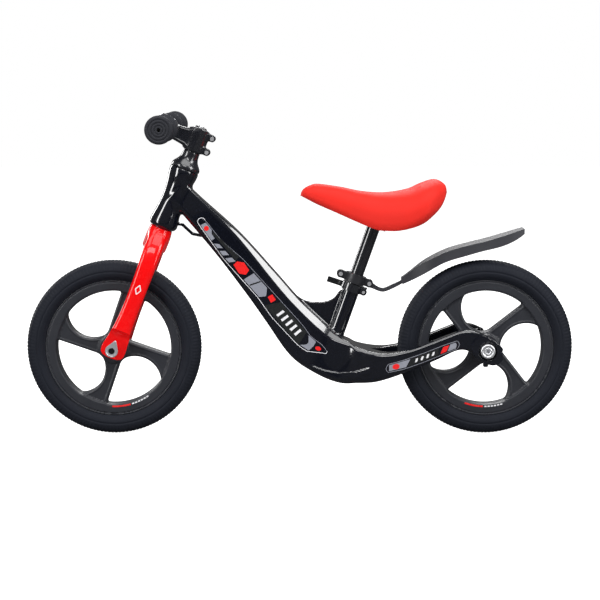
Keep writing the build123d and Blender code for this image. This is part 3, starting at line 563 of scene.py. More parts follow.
def frameField():
    beam = Spine(frameSkin["beam"])
    head, _ = curveThrough(frameSkin["headTube"], 160)
    top, _ = curveThrough(frameSkin["gusset"], 24)
    web = np.vstack([top, [(58, 160), (36, 176)]])
    crease = np.array(frameSkin["crease"], float)
    foot = -(249.0 - 125.0) / math.cos(bike["seatTilt"])

    def field(x, y, z):
        y = np.abs(y)
        near, side, past = beam.place(x, z)
        height, width, middle, facet = (beam.value(near, i) for i in range(2, 6))
        corner = np.where(side > 0, np.minimum(3.0, width * 0.5), np.minimum(9.0, width * 0.75))
        up = np.abs(side) - (height - corner)
        out = np.abs(y - middle) - (width - corner)
        body = roundedBox(up, out, corner)
        slant = (side - height) * 0.60 + (y - middle - width) * 0.80 + facet
        body = smoothMax(body, slant, 1.2)
        body = smoothMax(body, np.abs(past) - 2.0, 2.0)
        fold = distanceToOutline(x, z, crease)
        body = body - 1.3 * np.clip(0.5 - fold / 1.8, 0, 1) * np.clip(4 - np.abs(x - 68) / 14.0, 0, 1)
        back, along = toSteering(x, z)
        fromHead = np.hypot(back, y)
        headTube = fromHead - np.interp(along, head[:, 0], head[:, 1])
        headTube = smoothMax(headTube, np.abs(along - 266.5) - 51.5, 1.5)
        body = smoothMin(body, headTube, 9.0)
        seatBack, seatUp = toSeat(x, z)
        fromPost = np.hypot(seatBack, y)
        tube = smoothMax(fromPost - frameSkin["seatTube"], np.maximum(seatUp, foot + 12 - seatUp), 1.2)
        rib = np.maximum(np.abs(y) - 1.6, np.maximum(np.abs(seatBack + 12.0) - 4.2, np.abs(seatUp + 44.0) - 28.0))
        tube = smoothMin(tube, rib, 2.5)
        plate = distanceToOutline(x, z, web)
        lip = np.clip(1 + plate / 4.0, 0, 1)
        plate = smoothMax(plate, y - 3.6 - 0.9 * lip, 1.5)
        tube = smoothMin(tube, plate, 3.0)
        body = smoothMin(body, tube, 6.0)
        fromAxle = np.hypot(x - bike["rearAxle"], z - bike["wheelRadius"])
        lobe = distanceToPath(x, z, [(301.0, 148.5), (316.0, 140.0)]) - 18.5
        ring = smoothMax(np.minimum(fromAxle - 20.0, lobe), np.maximum(y - 56.0, 36.0 - y), 1.6)
        body = smoothMin(body, ring, 6.0)
        tab = np.maximum(np.maximum(np.abs(x - 304.5) - 4.0, np.abs(z - 123.0) - 4.5), np.abs(y - 48.0) - 3.6)
        body = smoothMin(body, tab, 2.0)
        strap = np.maximum(distanceToPath(x, z, frameSkin["strap"]) - 2.2, y - 5.0)
        body = smoothMin(body, strap, 2.5)
        body = smoothMax(body, y - frameSkin["stayOuter"], 1.0)
        wheelRoom = np.where(x > 179.0, 0.0, np.hypot(x - 179.0, y))
        wheelRoom = np.maximum(y, wheelRoom) - frameSkin["wheelRoom"]
        body = smoothMax(body, -wheelRoom, 3.0)
        body = smoothMax(body, -np.maximum(fromAxle - 23.0, y - 38.0), 0.8)
        body = smoothMax(body, -np.maximum(fromAxle - 15.0, 52.0 - y), 0.8)
        body = np.maximum(body, frameSkin["axleBore"] - fromAxle)
        bore = fromHead - np.where(np.abs(along - 266.5) > 42.0, 17.0, 13.0)
        body = np.maximum(body, -bore)
        seatBore = np.maximum(fromPost - frameSkin["seatBore"], np.maximum(foot - seatUp, seatUp - 5))
        return np.maximum(body, -seatBore)

    return field


frameSurface = frameField()
frameBody = pieceFrom("frameBody", skinOf(frameSurface, (-262, -58.6, 86), (332, 58.6, 466), frameSkin["step"]))
fit(frameBody, "frame", "frameGloss", "frame_black", "frame_casting")


# fork
forkSkin = {
    # distance from the middle, height along the steering axis, half thickness, half depth, set back
    "blade": [(41, -24, 10, 20.5, 1.5), (41, 0, 10, 20.5, 1.5), (41, 20, 10, 18, 2.5), (41, 38, 10, 15.8, 3),
              (41, 60, 10, 14.4, 3.4), (41, 90, 10, 13.8, 3.6), (41, 128, 10, 14.2, 3),
              (38.8, 152, 10.6, 14.8, 2.2), (31.5, 172, 12, 15.4, 1.4), (19, 186, 15, 16, 0.6),
              (6, 190.5, 19, 16.6, 0), (-8, 191, 20, 16.6, 0)],
    "bladePower": 3.2, "tipDepth": 14.0, "tipHalf": 20.0, "tipPower": 2.9,
    "flat": 39.0, "rampLow": 22.0, "rampRadius": 14.0, "step": 1.3,
}


def forkField():
    look = forkSkin
    blade = Spine(look["blade"])

    def field(x, y, z):
        # x is back from the steering axis, z up along it, y sideways
        y = np.abs(y)
        near, side, past = blade.place(y, z)
        thick, deep = blade.value(near, 2), blade.value(near, 3)
        x0 = x - blade.value(near, 4)
        power, tipPower = look["bladePower"], look["tipPower"]
        total = (np.abs(side) / thick) ** power + (np.abs(x0) / deep) ** power
        body = swollen(total, power, np.minimum(thick, deep))
        below = np.abs(np.minimum(z, 0)) / look["tipDepth"]
        total = (np.abs(x0) / look["tipHalf"]) ** tipPower + below ** tipPower
        tip = swollen(total, tipPower, look["tipDepth"])
        body = np.where(z < 0, np.maximum(tip, np.abs(y - 41) - 10), body)
        body = smoothMax(body, 31.0 - y, 1.5) * (z < 100) + body * (z >= 100)
        over = np.clip(z - look["rampLow"], 0, look["rampRadius"])
        cut = look["flat"] + look["rampRadius"] - np.sqrt(look["rampRadius"] ** 2 - over ** 2) + (z > 36) * 20
        body = smoothMax(body, (y - cut) * 0.8, 0.8)
        crown = smoothMax(np.hypot(x, y) - 17.5, np.abs(z - 196.0) - 17.0, 1.5)
        body = smoothMin(body, crown, 12.0)
        wheelRoom = np.maximum(y - 31.0, np.hypot(x, z) - 156.0)
        body = smoothMax(body, -wheelRoom, 3.0)
        body = np.maximum(body, -np.maximum(np.hypot(x, y) - 11.15, 160.0 - z))
        return smoothMax(body, 5.05 - np.hypot(x, z), 0.8)

    return field


def steeringPiece(name, field, low, high, step):
    # the field is in the steering frame, so the skin is turned into place
    skin = skinOf(field, low, high, step)
    return pieceFrom(name, skin, bike["frontAxle"], bike["wheelRadius"], -bike["steerTilt"])


forkSurface = forkField()
forkBody = steeringPiece("forkBody", forkSurface, (-22, -53, -17), (26, 53, 215), forkSkin["step"])
fit(forkBody, "steering", "forkGloss", "fork_red", "fork")


# stem
stemSkin = {
    "low": 350.0, "reach": 52.0, "barUp": 371.0, "bore": 11.15, "ears": (356.5, 380.5), "earBack": 23.5,
    "earRadius": 5.5, "step": 0.9,
    # raised lines on its sides, back from the steering axis and up along it
    "edges": [[(-9, 384.5), (-16, 380.2), (-30, 378.6), (-44, 380.6)],
              [(-9, 354.5), (-16, 357.6), (-30, 359.2), (-44, 360.6)], [(-9, 354.5), (-7, 369), (-9, 384.5)]],
}


def stemField():
    look = stemSkin

    def field(x, y, z):
        y0 = y
        y = np.abs(y)
        fromAxis = np.hypot(x, y)
        top = np.interp(x, [-26, -12, -2, 7, 24], [381.5, 387.5, 391.0, 389.8, 386.0])
        body = smoothMax(fromAxis - 16.5, np.maximum(z - top, look["low"] - z), 2.5)
        armTop = np.interp(x, [-52, -36, -20, 0], [385.0, 381.5, 382.8, 388.0])
        armLow = np.interp(x, [-52, -36, -10, 0], [357.5, 356.1, 352.5, 351.5])
        middle, half = (armTop + armLow) / 2, (armTop - armLow) / 2
        wide = np.interp(x, [-52, -30, 0], [18.0, 14.0, 15.5])
        arm = roundedBox(np.abs(z - middle) - (half - 5), y - (wide - 5), 5)
        arm = smoothMax(arm, np.abs(x + 26.0) - 26.0, 2.0)
        body = smoothMin(body, arm, 6.0)
        fromBar = np.hypot(x + look["reach"], z - look["barUp"])
        body = smoothMin(body, smoothMax(fromBar - 17.0, y - 20.0, 2.0), 4.0)
        for up in look["ears"]:
            ear = distanceToPath(x, z, [(8, up), (look["earBack"], up)]) - look["earRadius"]
            ear = np.maximum(ear, y - 9.0)
            body = smoothMin(body, ear, 3.0)
        web = np.maximum(np.maximum(np.abs(x - 13) - 5, np.abs(z - 368.5) - 14), y - 7.5)
        body = smoothMin(body, web, 4.0)
        edge = distanceToPath(x, z, look["edges"][0])
        for line in look["edges"][1:]:
            edge = np.minimum(edge, distanceToPath(x, z, line))
        body = body - 0.8 * np.clip(1.4 - edge / 1.2, 0, 1) * (y > 6)
        body = smoothMax(body, -(x + look["reach"]), 0.6)
        body = np.maximum(body, look["bore"] - np.minimum(fromAxis, fromBar))
        slit = np.maximum(np.abs(y0) - 0.8, -x)
        body = np.maximum(body, -slit)
        for up in look["ears"]:
            body = np.maximum(body, 2.55 - np.hypot(x - look["earBack"], z - up))
        return body

    return field


def steeringLathe(name, profile, segments):
    # turned about the steering axis: (radius, height along the axis)
    profile = [(r, -up) for r, up in profile]

    def place(verts):
        x, z = fromSteering(verts[:, 0], -verts[:, 1])
        return np.stack([x, verts[:, 2], z], 1)

    return lathe(name, profile, segments, place)


stemBody = steeringPiece("stemBody", stemField(), (-56, -22, 348), (32, 22, 394), stemSkin["step"])
fit(stemBody, "steering", "blackAlloy", "black_alloy", "stem")

# turned parts on the steering axis: name, finish, slot, CAD nodes, segments, (radius, height) profile
turnedParts = [
    ("topCap", "blackPlastic", "black_plastic", ["stem_top_cap"], 48,
     [(2.6, 386.0), (9.0, 386.0), (9.6, 387.5), (9.6, 390.6), (8.8, 391.6), (5.2, 392.0), (5.0, 391.0),
      (2.6, 391.0)]),
    ("capBolt", "zincSteel", "zinc_steel", ["stem_cap_bolt"], 36,
     [(0.4, 378.0), (2.5, 378.0), (2.5, 391.0), (4.4, 391.1), (4.6, 392.6), (3.8, 393.6), (2.0, 393.8),
      (1.9, 392.2), (0.4, 392.2)]),
    ("headsetCone", "blackAlloy", "black_alloy", ["headset_cone", "headset_spacer"], 96,
     [(11.2, 318.3), (23.2, 318.3), (24.0, 319.2), (24.0, 321.6), (23.5, 323.6), (22.3, 325.8), (20.6, 328),
      (18.7, 330.2), (16.9, 332.6), (15.6, 335.2), (14.6, 338), (14.1, 341), (13.9, 345), (13.8, 349.2),
      (13.4, 349.7), (11.2, 349.7)]),
]
for name, finish, slot, nodes, segments, profile in turnedParts:
    fit(steeringLathe(name, profile, segments), "steering", finish, slot, *nodes)

washerLook = {"radius": 10.5, "bore": 5.15, "inner": 51.05, "roundPart": 0.69 * math.pi,
              "point": [(1.9, 17.0), (1.1, 18.1), (0, 18.6), (-1.1, 18.1), (-1.9, 17.0)]}


def teardrop(name, side):
    # a retention washer: round at the axle and drawn to a point up the fork, with a turned edge
    look = washerLook
    angle = np.linspace(-look["roundPart"], look["roundPart"], 61)
    outline = [(look["radius"] * math.sin(a), -look["radius"] * math.cos(a)) for a in angle]
    outline = np.array((outline + look["point"])[::-1])
    bore = look["bore"] * outline / np.hypot(*outline.T)[:, None]
    low = look["inner"] * side
    rows = [(bore, 0), (outline, 0), (outline, 1.3), (outline * 0.95, 1.9), (outline * 0.80, 1.95),
            (outline * 0.76, 1.6), (bore * 1.05, 1.6)]
    verts, faces = [], []
    count = len(outline)
    for flat, up in rows:
        x, z = fromSteering(flat[:, 0], flat[:, 1])
        verts.append(np.stack([x, np.full(count, low + side * up), z], 1))
    for i in range(len(rows)):
        for j in range(count):
            k, n = (j + 1) % count, (i + 1) % len(rows)
            faces.append((i * count + j, i * count + k, n * count + k, n * count + j))
    piece = newObject(name, np.vstack(verts) * mm, faces, smooth=False)
    outward(piece)
    fit(piece, "steering", "zincSteel", "zinc_steel", "retention_washers")


for side, name in ((-1, "washerLeft"), (1, "washerRight")):
    teardrop(name, side)
print("frame, fork and stem ready")


# seatpost
postLook = {"radius": 11.1, "wall": 1.8, "inside": 78.0, "top": 103.0}


def makePost():
    look = postLook
    outer, inner = look["radius"], look["radius"] - look["wall"]
    profile = [(inner, look["inside"]), (outer - 0.5, look["inside"]), (outer, look["inside"] - 0.5)]
    profile += [(outer, -up) for up in np.linspace(-look["inside"] + 4, look["top"] - 1, 30)]
    profile += [(outer, -look["top"]), (inner, -look["top"])]

    def place(verts):
        back, up = verts[:, 0], -verts[:, 1]
        c, s = math.cos(bike["seatTilt"]), math.sin(bike["seatTilt"])
        rimX, rimZ = bike["seatRim"]
        return np.stack([rimX + back * c + up * s, verts[:, 2], rimZ - back * s + up * c], 1)

    post = lathe("seatpostTube", profile, 128, place)
    fit(post, "seat_group", "postGloss", "post_black", "seatpost")


makePost()


# rear axle bolts
boltLook = {"head": 11.8, "groove": 7.7, "socket": 3.2}


def makeRearBolts():
    # a broad bevelled head with a shallow groove round its socket
    look = boltLook
    profile = [(0.3, 32.0), (3.0, 32.0), (3.0, 52.1), (look["head"], 52.1), (look["head"], 58.6),
               (look["head"] - 0.5, 59.5), (look["head"] - 1.6, 59.9), (look["groove"] + 0.5, 59.9),
               (look["groove"], 59.1), (look["groove"] - 1.3, 59.1), (look["groove"] - 1.8, 59.7),
               (look["socket"] + 1.0, 59.7), (look["socket"] + 0.3, 59.1), (look["socket"], 58.6),
               (look["socket"], 55.6), (0.3, 55.2)]
    for side, name in ((-1, "rearBoltLeft"), (1, "rearBoltRight")):
        bolt = lathe(name, profile, 48, lambda v: np.stack([bike["rearAxle"] + v[:, 0], side * v[:, 1],
                                                            bike["wheelRadius"] + v[:, 2]], 1))
        fit(bolt, "frame", "zincSteel", "zinc_steel", "rear_axle_bolts")


makeRearBolts()


# wheels
wheelSkin = {
    "openingRadius": 95.0, "rimRadius": 113.0, "rimInner": 93.6, "halfWeb": 14.0, "halfRim": 17.0,
    "hubRadius": 23.5, "halfHub": 25.0, "bearingBore": 13.0, "axleBore": 6.0,
    "rearTurn": math.radians(-33.0), "step": 1.35, "cornerRun": 5.0,
    # radius and half width of the tyre's section, from the bead to the middle of the tread
    "tyre": [(113.05, 17), (114.6, 18.4), (115.4, 18.2), (116.2, 19.6), (119, 21.6), (122.5, 22.9), (125.3, 23.15),
             (125.9, 22.3), (127.2, 22.3), (127.8, 23.1), (130.5, 22.9), (133, 22.3), (135, 21.5), (137, 20.2),
             (139, 18.4), (140.8, 15.9), (142.2, 13), (143.3, 9.8), (144.1, 6.6), (144.4, 5.4), (144.7, 4.2),
             (144.9, 2.2), (145, 0)],
    "lugs": 150, "lugHeight": 0.7,
}


def openingOutline():
    def at(radius, degrees):
        return np.array([radius * math.cos(math.radians(degrees)), radius * math.sin(math.radians(degrees))])

    look = wheelSkin
    radius = look["openingRadius"]
    heel, toe, crown = np.array([9.6, -25.6]), np.array([17.5, -17.6]), np.array([47.0, -16.3])
    rim = [at(radius, a) for a in np.linspace(-98.5, -35, 22)]
    last = rim[-1]
    sides = 2 * np.array([crown - last, toe - last])
    middle = np.linalg.solve(sides, [crown @ crown - last @ last, toe @ toe - last @ last])
    bend = np.hypot(*(last - middle))
    start, end = (math.atan2(*(p - middle)[::-1]) for p in (last, toe))
    if end < start:
        end += 2 * math.pi
    curve = [middle + bend * np.array([math.cos(a), math.sin(a)]) for a in np.linspace(start, end, 22)[1:]]
    # evenly spaced points, averaged over a short run so that the corners turn softly
    dense = spread([heel] + rim + curve + [heel], 400)[:-1]
    run = int(round(look["cornerRun"] / np.hypot(*(dense[1] - dense[0]))))
    return sum(np.roll(dense, i, axis=0) for i in range(-run, run + 1))[::6] / (2 * run + 1)


def wheelField():
    look = wheelSkin
    outline = openingOutline()

    def field(x, y, z):
        y = np.abs(y)
        r = np.hypot(x, z)
        gap = None
        for i in range(4):
            c, s = math.cos(i * math.pi / 2), math.sin(i * math.pi / 2)
            one = distanceToOutline(x * c - z * s, x * s + z * c, outline)
            gap = one if gap is None else np.minimum(gap, one)
        gap = smoothMax(gap, r - look["openingRadius"], 1.0)
        hollow = 0.9 * np.clip((gap - 3.0) / 2.0, 0, 1) * (r < 91) * (r > 27)
        web = np.maximum(y - look["halfWeb"] + hollow, r - 100.0)
        hub = smoothMax(r - look["hubRadius"], y - look["halfHub"], 2.5)
        rim = smoothMax(y - look["halfRim"], np.maximum(r - look["rimRadius"], look["rimInner"] - r), 2.5)
        groove = np.maximum(np.abs(r - 109.8) - 0.9, look["halfRim"] - 0.9 - y)
        body = smoothMin(smoothMin(web, hub, 3.0), rim, 2.0)
        body = smoothMax(body, -gap - 0.4, 4.5)
        body = smoothMax(body, -groove, 0.8)
        body = np.maximum(body, -np.maximum(r - look["bearingBore"], 17.0 - y))
        return np.maximum(body, look["axleBore"] - r)

    return field


def turnWheel(verts, axle, turn):
    # wheel millimetres to global ones
    c, s = math.cos(turn), math.sin(turn)
    x, y, z = verts.T
    return np.stack([axle + x * c - z * s, y, bike["wheelRadius"] + x * s + z * c], 1)


def makeTyre(name, axle, turn):
    half = np.array(wheelSkin["tyre"], float)
    dense, _ = curveThrough(half, 44)
    dense = np.vstack([dense, (dense * [1, -1])[-2::-1]])
    seat = [(113.05, y) for y in np.linspace(-17, 17, 6)[1:-1]]
    profile = np.vstack([dense, seat])
    along = np.gradient(dense, axis=0)
    normal = np.stack([-along[:, 1], along[:, 0]], 1) / np.hypot(*along.T)[:, None]
    normal = np.vstack([normal, np.zeros((len(seat), 2))])
    normal *= np.sign((normal * (profile - [128, 0])).sum(1))[:, None]
    segments = wheelSkin["lugs"] * 4
    angle = np.linspace(0, 2 * math.pi, segments, endpoint=False)
    radius, across = profile[:, 0], np.abs(profile[:, 1])
    shoulder = (radius > 131.0) & (across > 11.5)
    crown = (across < 10.6) & (radius > 140)
    step = np.arange(segments) % 4
    crownLug = crown & (across > 2.4)
    raised = ((step < 3)[:, None] & shoulder[None]) | ((((step + 2) % 4) < 3)[:, None] & crownLug[None])
    sunk = (shoulder | (radius > 140))[None] & ~raised
    push = np.where(sunk, -wheelSkin["lugHeight"], 0.0)
    spot = profile[None] + normal[None] * push[..., None]
    verts = np.stack([spot[..., 0] * np.cos(angle)[:, None], spot[..., 1],
                      spot[..., 0] * np.sin(angle)[:, None]], -1).reshape(-1, 3)
    n = len(profile)
    i, j = np.meshgrid(np.arange(segments), np.arange(n), indexing="ij")
    a, b = i * n + j, i * n + (j + 1) % n
    c, d = (i + 1) % segments * n + (j + 1) % n, (i + 1) % segments * n + j
    tyre = newObject(name, turnWheel(verts, axle, turn) * mm, np.stack([a, b, c, d], -1).reshape(-1, 4))
    outward(tyre)
    return tyre


def makeWheels():
    skin = skinOf(wheelField(), (-115, -26.5, -115), (115, 26.5, 115), wheelSkin["step"])
    for end, turn in (("front", 0.0), ("rear", wheelSkin["rearTurn"])):
        axle = bike[end + "Axle"]
        casting = pieceFrom(end + "WheelBody", skin, axle, bike["wheelRadius"], turn)
        fit(casting, end + "_wheel", "wheelPlastic", "wheel_plastic", end + "_wheel_casting")
        tyre = makeTyre(end + "TyreBody", axle, turn)
        fit(tyre, end + "_wheel", "tyreFoam", "tyre_foam", end + "_tyre")
    print("wheels ready")


makeWheels()


# grips
gripLook = {"start": 68.0, "end": 188.0, "radius": 15.5, "bore": 11.15, "rib": 3.2, "ribHeight": 0.55}


def makeGrip(side):
    look = gripLook
    start, end = look["start"], look["end"]
    profile = [(look["bore"], start), (14, start), (20.5, start), (21.7, start + 1.0), (22.1, start + 2.2),
               (21.6, start + 3.6), (19.5, start + 4.8), (16.6, start + 6.0)]
    for along in np.arange(start + 7.0, end - 11.5, look["rib"] / 4):
        wave = 0.5 + 0.5 * math.cos((along - start) / look["rib"] * 2 * math.pi)
        profile.append((look["radius"] - look["ribHeight"] * wave ** 3, along))
    profile += [(15.6, end - 11), (17.2, end - 9.6), (20.6, end - 8.6), (22.0, end - 7.2), (22.5, end - 5.4),
                (22.4, end - 3.6), (21.7, end - 1.8), (20.4, end - 0.6), (18.8, end), (17.2, end),
                (16.7, end - 0.9), (15.7, end - 0.9), (15.2, end), (12.2, end), (11.7, end - 0.9),
                (10.7, end - 0.9), (10.2, end),
                (7.4, end), (6.9, end - 0.8), (6.1, end - 0.8), (5.6, end), (3.8, end), (3.0, end - 0.7),
                (3.0, end - 3.5), (look["bore"], end - 3.5)]

    def place(verts):
        x, z = fromSteering(verts[:, 0] - 52.0, verts[:, 2] + 371.0)
        return np.stack([x, side * verts[:, 1], z], 1)

    grip = lathe("gripLeft" if side < 0 else "gripRight", profile, 96, place)
    fit(grip, "handlebar_set", "gripRubber", "grip_rubber", "grip_left" if side < 0 else "grip_right")


for side in (-1, 1):
    makeGrip(side)
print("grips ready")


# saddle
saddleLook = {
    "top": [(1.4, 396), (2.6, 401.5), (7, 407.5), (17, 413), (30, 415.6), (66.5, 410.7), (103, 403.5),
            (139.6, 401.5), (176, 407), (200, 417), (222, 423), (238, 415), (242, 402)],
    "bottom": [(242, 402), (231, 378), (214, 360), (194, 344.6), (176, 335.4), (158, 331), (139.6, 331.4),
               (121, 335.4), (75.6, 357.5), (30, 381), (1.4, 396)],
    "plan": [(1.2, 0), (5, 15.5), (23, 25), (80, 31), (130, 49), (175, 66.5), (210, 70), (235, 42), (242.8, 0)],
    "plate": [(24, 386), (75.6, 358), (118, 337.5), (140, 333), (160, 333), (178, 338), (200, 351.5), (214, 364)],
    "fill": 0.85, "step": 1.5,
}


def saddleField():
    look = saddleLook
    top, _ = curveThrough(look["top"], 300)
    bottom, _ = curveThrough(look["bottom"][::-1], 300)
    plan, _ = curveThrough(look["plan"], 400)
    plate, _ = curveThrough(look["plate"], 200)

    def field(x, y, z):
        y = np.abs(y)
        high = np.interp(x, top[:, 0], top[:, 1])
        low = np.interp(x, bottom[:, 0], bottom[:, 1])
        wide = np.maximum(np.interp(x, plan[:, 0], plan[:, 1]), 0.8)
        middle = low + 0.42 * (high - low)
        up = np.maximum(high - middle, 0.6)
        down = np.maximum(middle - low, 0.6)
        tall = np.where(z > middle, np.abs(z - middle) / up, np.abs(z - middle) / down)
        p, q = np.where(z > middle, 2.3, 3.2), 2.6
        size = np.minimum(np.where(z > middle, up, down), wide)
        body = swollen((y / wide) ** q + tall ** p, q, size)
        body = np.maximum(body, np.maximum(x - 242.4, 1.1 - x))
        under = np.interp(x, plate[:, 0], plate[:, 1])
        ends = np.sqrt(np.clip(1 - np.abs((x - 119.0) / 96.0) ** 5, 0.0, 1))
        pocket = np.maximum(np.maximum(z - under - 13.3, y - (wide - 7.7) * ends), np.maximum(x - 214.0, 24.0 - x))
        seatBack, seatUp = toSeat(x, z)
        block = np.maximum(np.abs(seatBack) - 24.3, y - 20.3)
        block = np.maximum(block, np.maximum(seatUp - 112.3, 96.0 - seatUp))
        body = smoothMax(body, -pocket, 2.5)
        return np.maximum(body, -block)

    return field


saddlePad = pieceFrom("saddlePad", skinOf(saddleField(), (-1, -72, 326), (245, 72, 427), saddleLook["step"], 3))
fit(saddlePad, "seat_group", "saddleSkin", "saddle_red", "saddle_pad")
print("saddle ready")


# printed shapes on the frame and fork, all generic
artLook = {"lift": 0.22, "depth": 0.30, "grid": 2.0}
printSlots = {"Red": "fork_red", "Grey": "zinc_steel", "Dark": "frame_black", "White": "zinc_steel"}


def outerFace(field, x, z, reach=60.0):
    # how far out from the middle plane the surface lies at each x and z
    levels = np.arange(reach, 0, -1.0)
    inside = field(x[:, None], levels[None, :], z[:, None]) < 0
    found = inside.any(1)
    near = levels[inside.argmax(1)]
    far = near + 1.0
    for _ in range(9):
        middle = (far + near) / 2
        inside = field(x, middle, z) < 0
        near, far = np.where(inside, middle, near), np.where(inside, far, middle)
    return np.where(found, near, np.nan)


class Art:
    # gathers thin closed patches that lie on a surface, on both sides of the bike
    def __init__(self, field, toFrame=None):
        self.field = field
        self.toFrame = toFrame
        self.verts, self.faces = [], []

    def strip(self, lower, upper, lift=0.0, sides=(-1, 1)):
        # fills the room between two edges that run the same way
        size = artLook["grid"]
        low, high = np.array(lower, float), np.array(upper, float)
        length = max(np.hypot(*np.diff(low, axis=0).T).sum(), np.hypot(*np.diff(high, axis=0).T).sum())
        n = max(2, int(length / size) + 1)
        low, high = spread(low, n), spread(high, n)
        m = max(2, int(np.hypot(*(high - low).T).max() / size) + 1)
        t = np.linspace(0, 1, m)[None, :, None]
        flat = (low[:, None] * (1 - t) + high[:, None] * t).reshape(-1, 2)
        out = outerFace(self.field, flat[:, 0], flat[:, 1])
        if np.isnan(out).any():
            out = np.where(np.isnan(out), np.nanmedian(out), out)
        for side in sides:
            base = sum(len(v) for v in self.verts)
            for level in (artLook["lift"] + lift, -artLook["depth"]):
                self.verts.append(np.stack([flat[:, 0], side * (out + level), flat[:, 1]], 1))
            back = base + n * m
            for i in range(n - 1):
                for j in range(m - 1):
                    a, b, c, d = i * m + j, i * m + j + 1, (i + 1) * m + j + 1, (i + 1) * m + j
                    self.faces.append((base + a, base + b, base + c, base + d))
                    self.faces.append((back + d, back + c, back + b, back + a))
            ring = [i * m for i in range(n)] + [(n - 1) * m + j for j in range(1, m)]
            ring += [i * m + m - 1 for i in range(n - 2, -1, -1)] + list(range(m - 2, 0, -1))
            for a, b in zip(ring, ring[1:] + ring[:1]):
                self.faces.append((base + a, base + b, back + b, back + a))

    def shape(self, outline, lift=0.0):
        # a closed outline given from one end round to the other: its first half and the rest reversed
        half = len(outline) // 2
        self.strip(outline[:half], outline[half:][::-1], lift)

    def blob(self, middle, wide, tall, turn=0.0, lift=0.0):
        angle = np.linspace(0.12, math.pi - 0.12, 9)
        c, s = math.cos(math.radians(turn)), math.sin(math.radians(turn))

        def at(u, v):
            return (middle[0] + u * c - v * s, middle[1] + u * s + v * c)

        upper = [at(-wide * math.cos(a), tall * math.sin(a)) for a in angle]
        lower = [at(-wide * math.cos(a), -tall * math.sin(a)) for a in angle]
        self.strip(lower, upper, lift)

    def line(self, points, width, lift=0.0):
        p = np.array(points, float)
        along = np.gradient(p, axis=0)
        along /= np.hypot(*along.T)[:, None]
        off = np.stack([-along[:, 1], along[:, 0]], 1) * width / 2
        self.strip(p - off, p + off, lift)

    def finish(self, name, body, finish, slot):
        verts = np.vstack(self.verts)
        if self.toFrame:
            x, z = self.toFrame(verts[:, 0], verts[:, 2])
            verts = np.stack([x, verts[:, 1], z], 1)
        piece = newObject(name, verts * mm, self.faces, smooth=False)
        outward(piece)
        fit(piece, body, finish, slot)
        return piece


def bandOf(lowerEdge, upperEdge):
    # lets a shape be placed by how far along and how far across a band it is
    low, high = spread(lowerEdge, 80), spread(upperEdge, 80)

    def at(u, v):
        i = np.clip(u, 0, 1) * 79
        p = [np.interp(i, np.arange(80), low[:, k]) for k in (0, 1)]
        q = [np.interp(i, np.arange(80), high[:, k]) for k in (0, 1)]
        return (float(p[0] * (1 - v) + q[0] * v), float(p[1] * (1 - v) + q[1] * v))

    return at


frameArt = {
    # the band on the main beam and the bar on the stay, by their lower and upper edges
    "beamLow": [(-166.5, 351.7), (-125.5, 293.5), (-69.4, 230.5), (-45.5, 196.4), (-4.0, 151.8), (10.7, 140.8),
                (43.7, 137.4)],
    "beamHigh": [(-155, 357.2), (-133.3, 329.7), (-121.3, 317.5), (-93.4, 293.5), (-51.5, 247.0), (5.5, 183.6),
                 (18.1, 165.4), (38.0, 150.8), (45.5, 140.6)],
    "stayLow": [(140, 109), (170, 115.5), (205, 128), (236, 141), (262, 150.5)],
    "stayHigh": [(140, 122), (170, 130.5), (205, 143), (236, 155.5), (262, 164)],
}


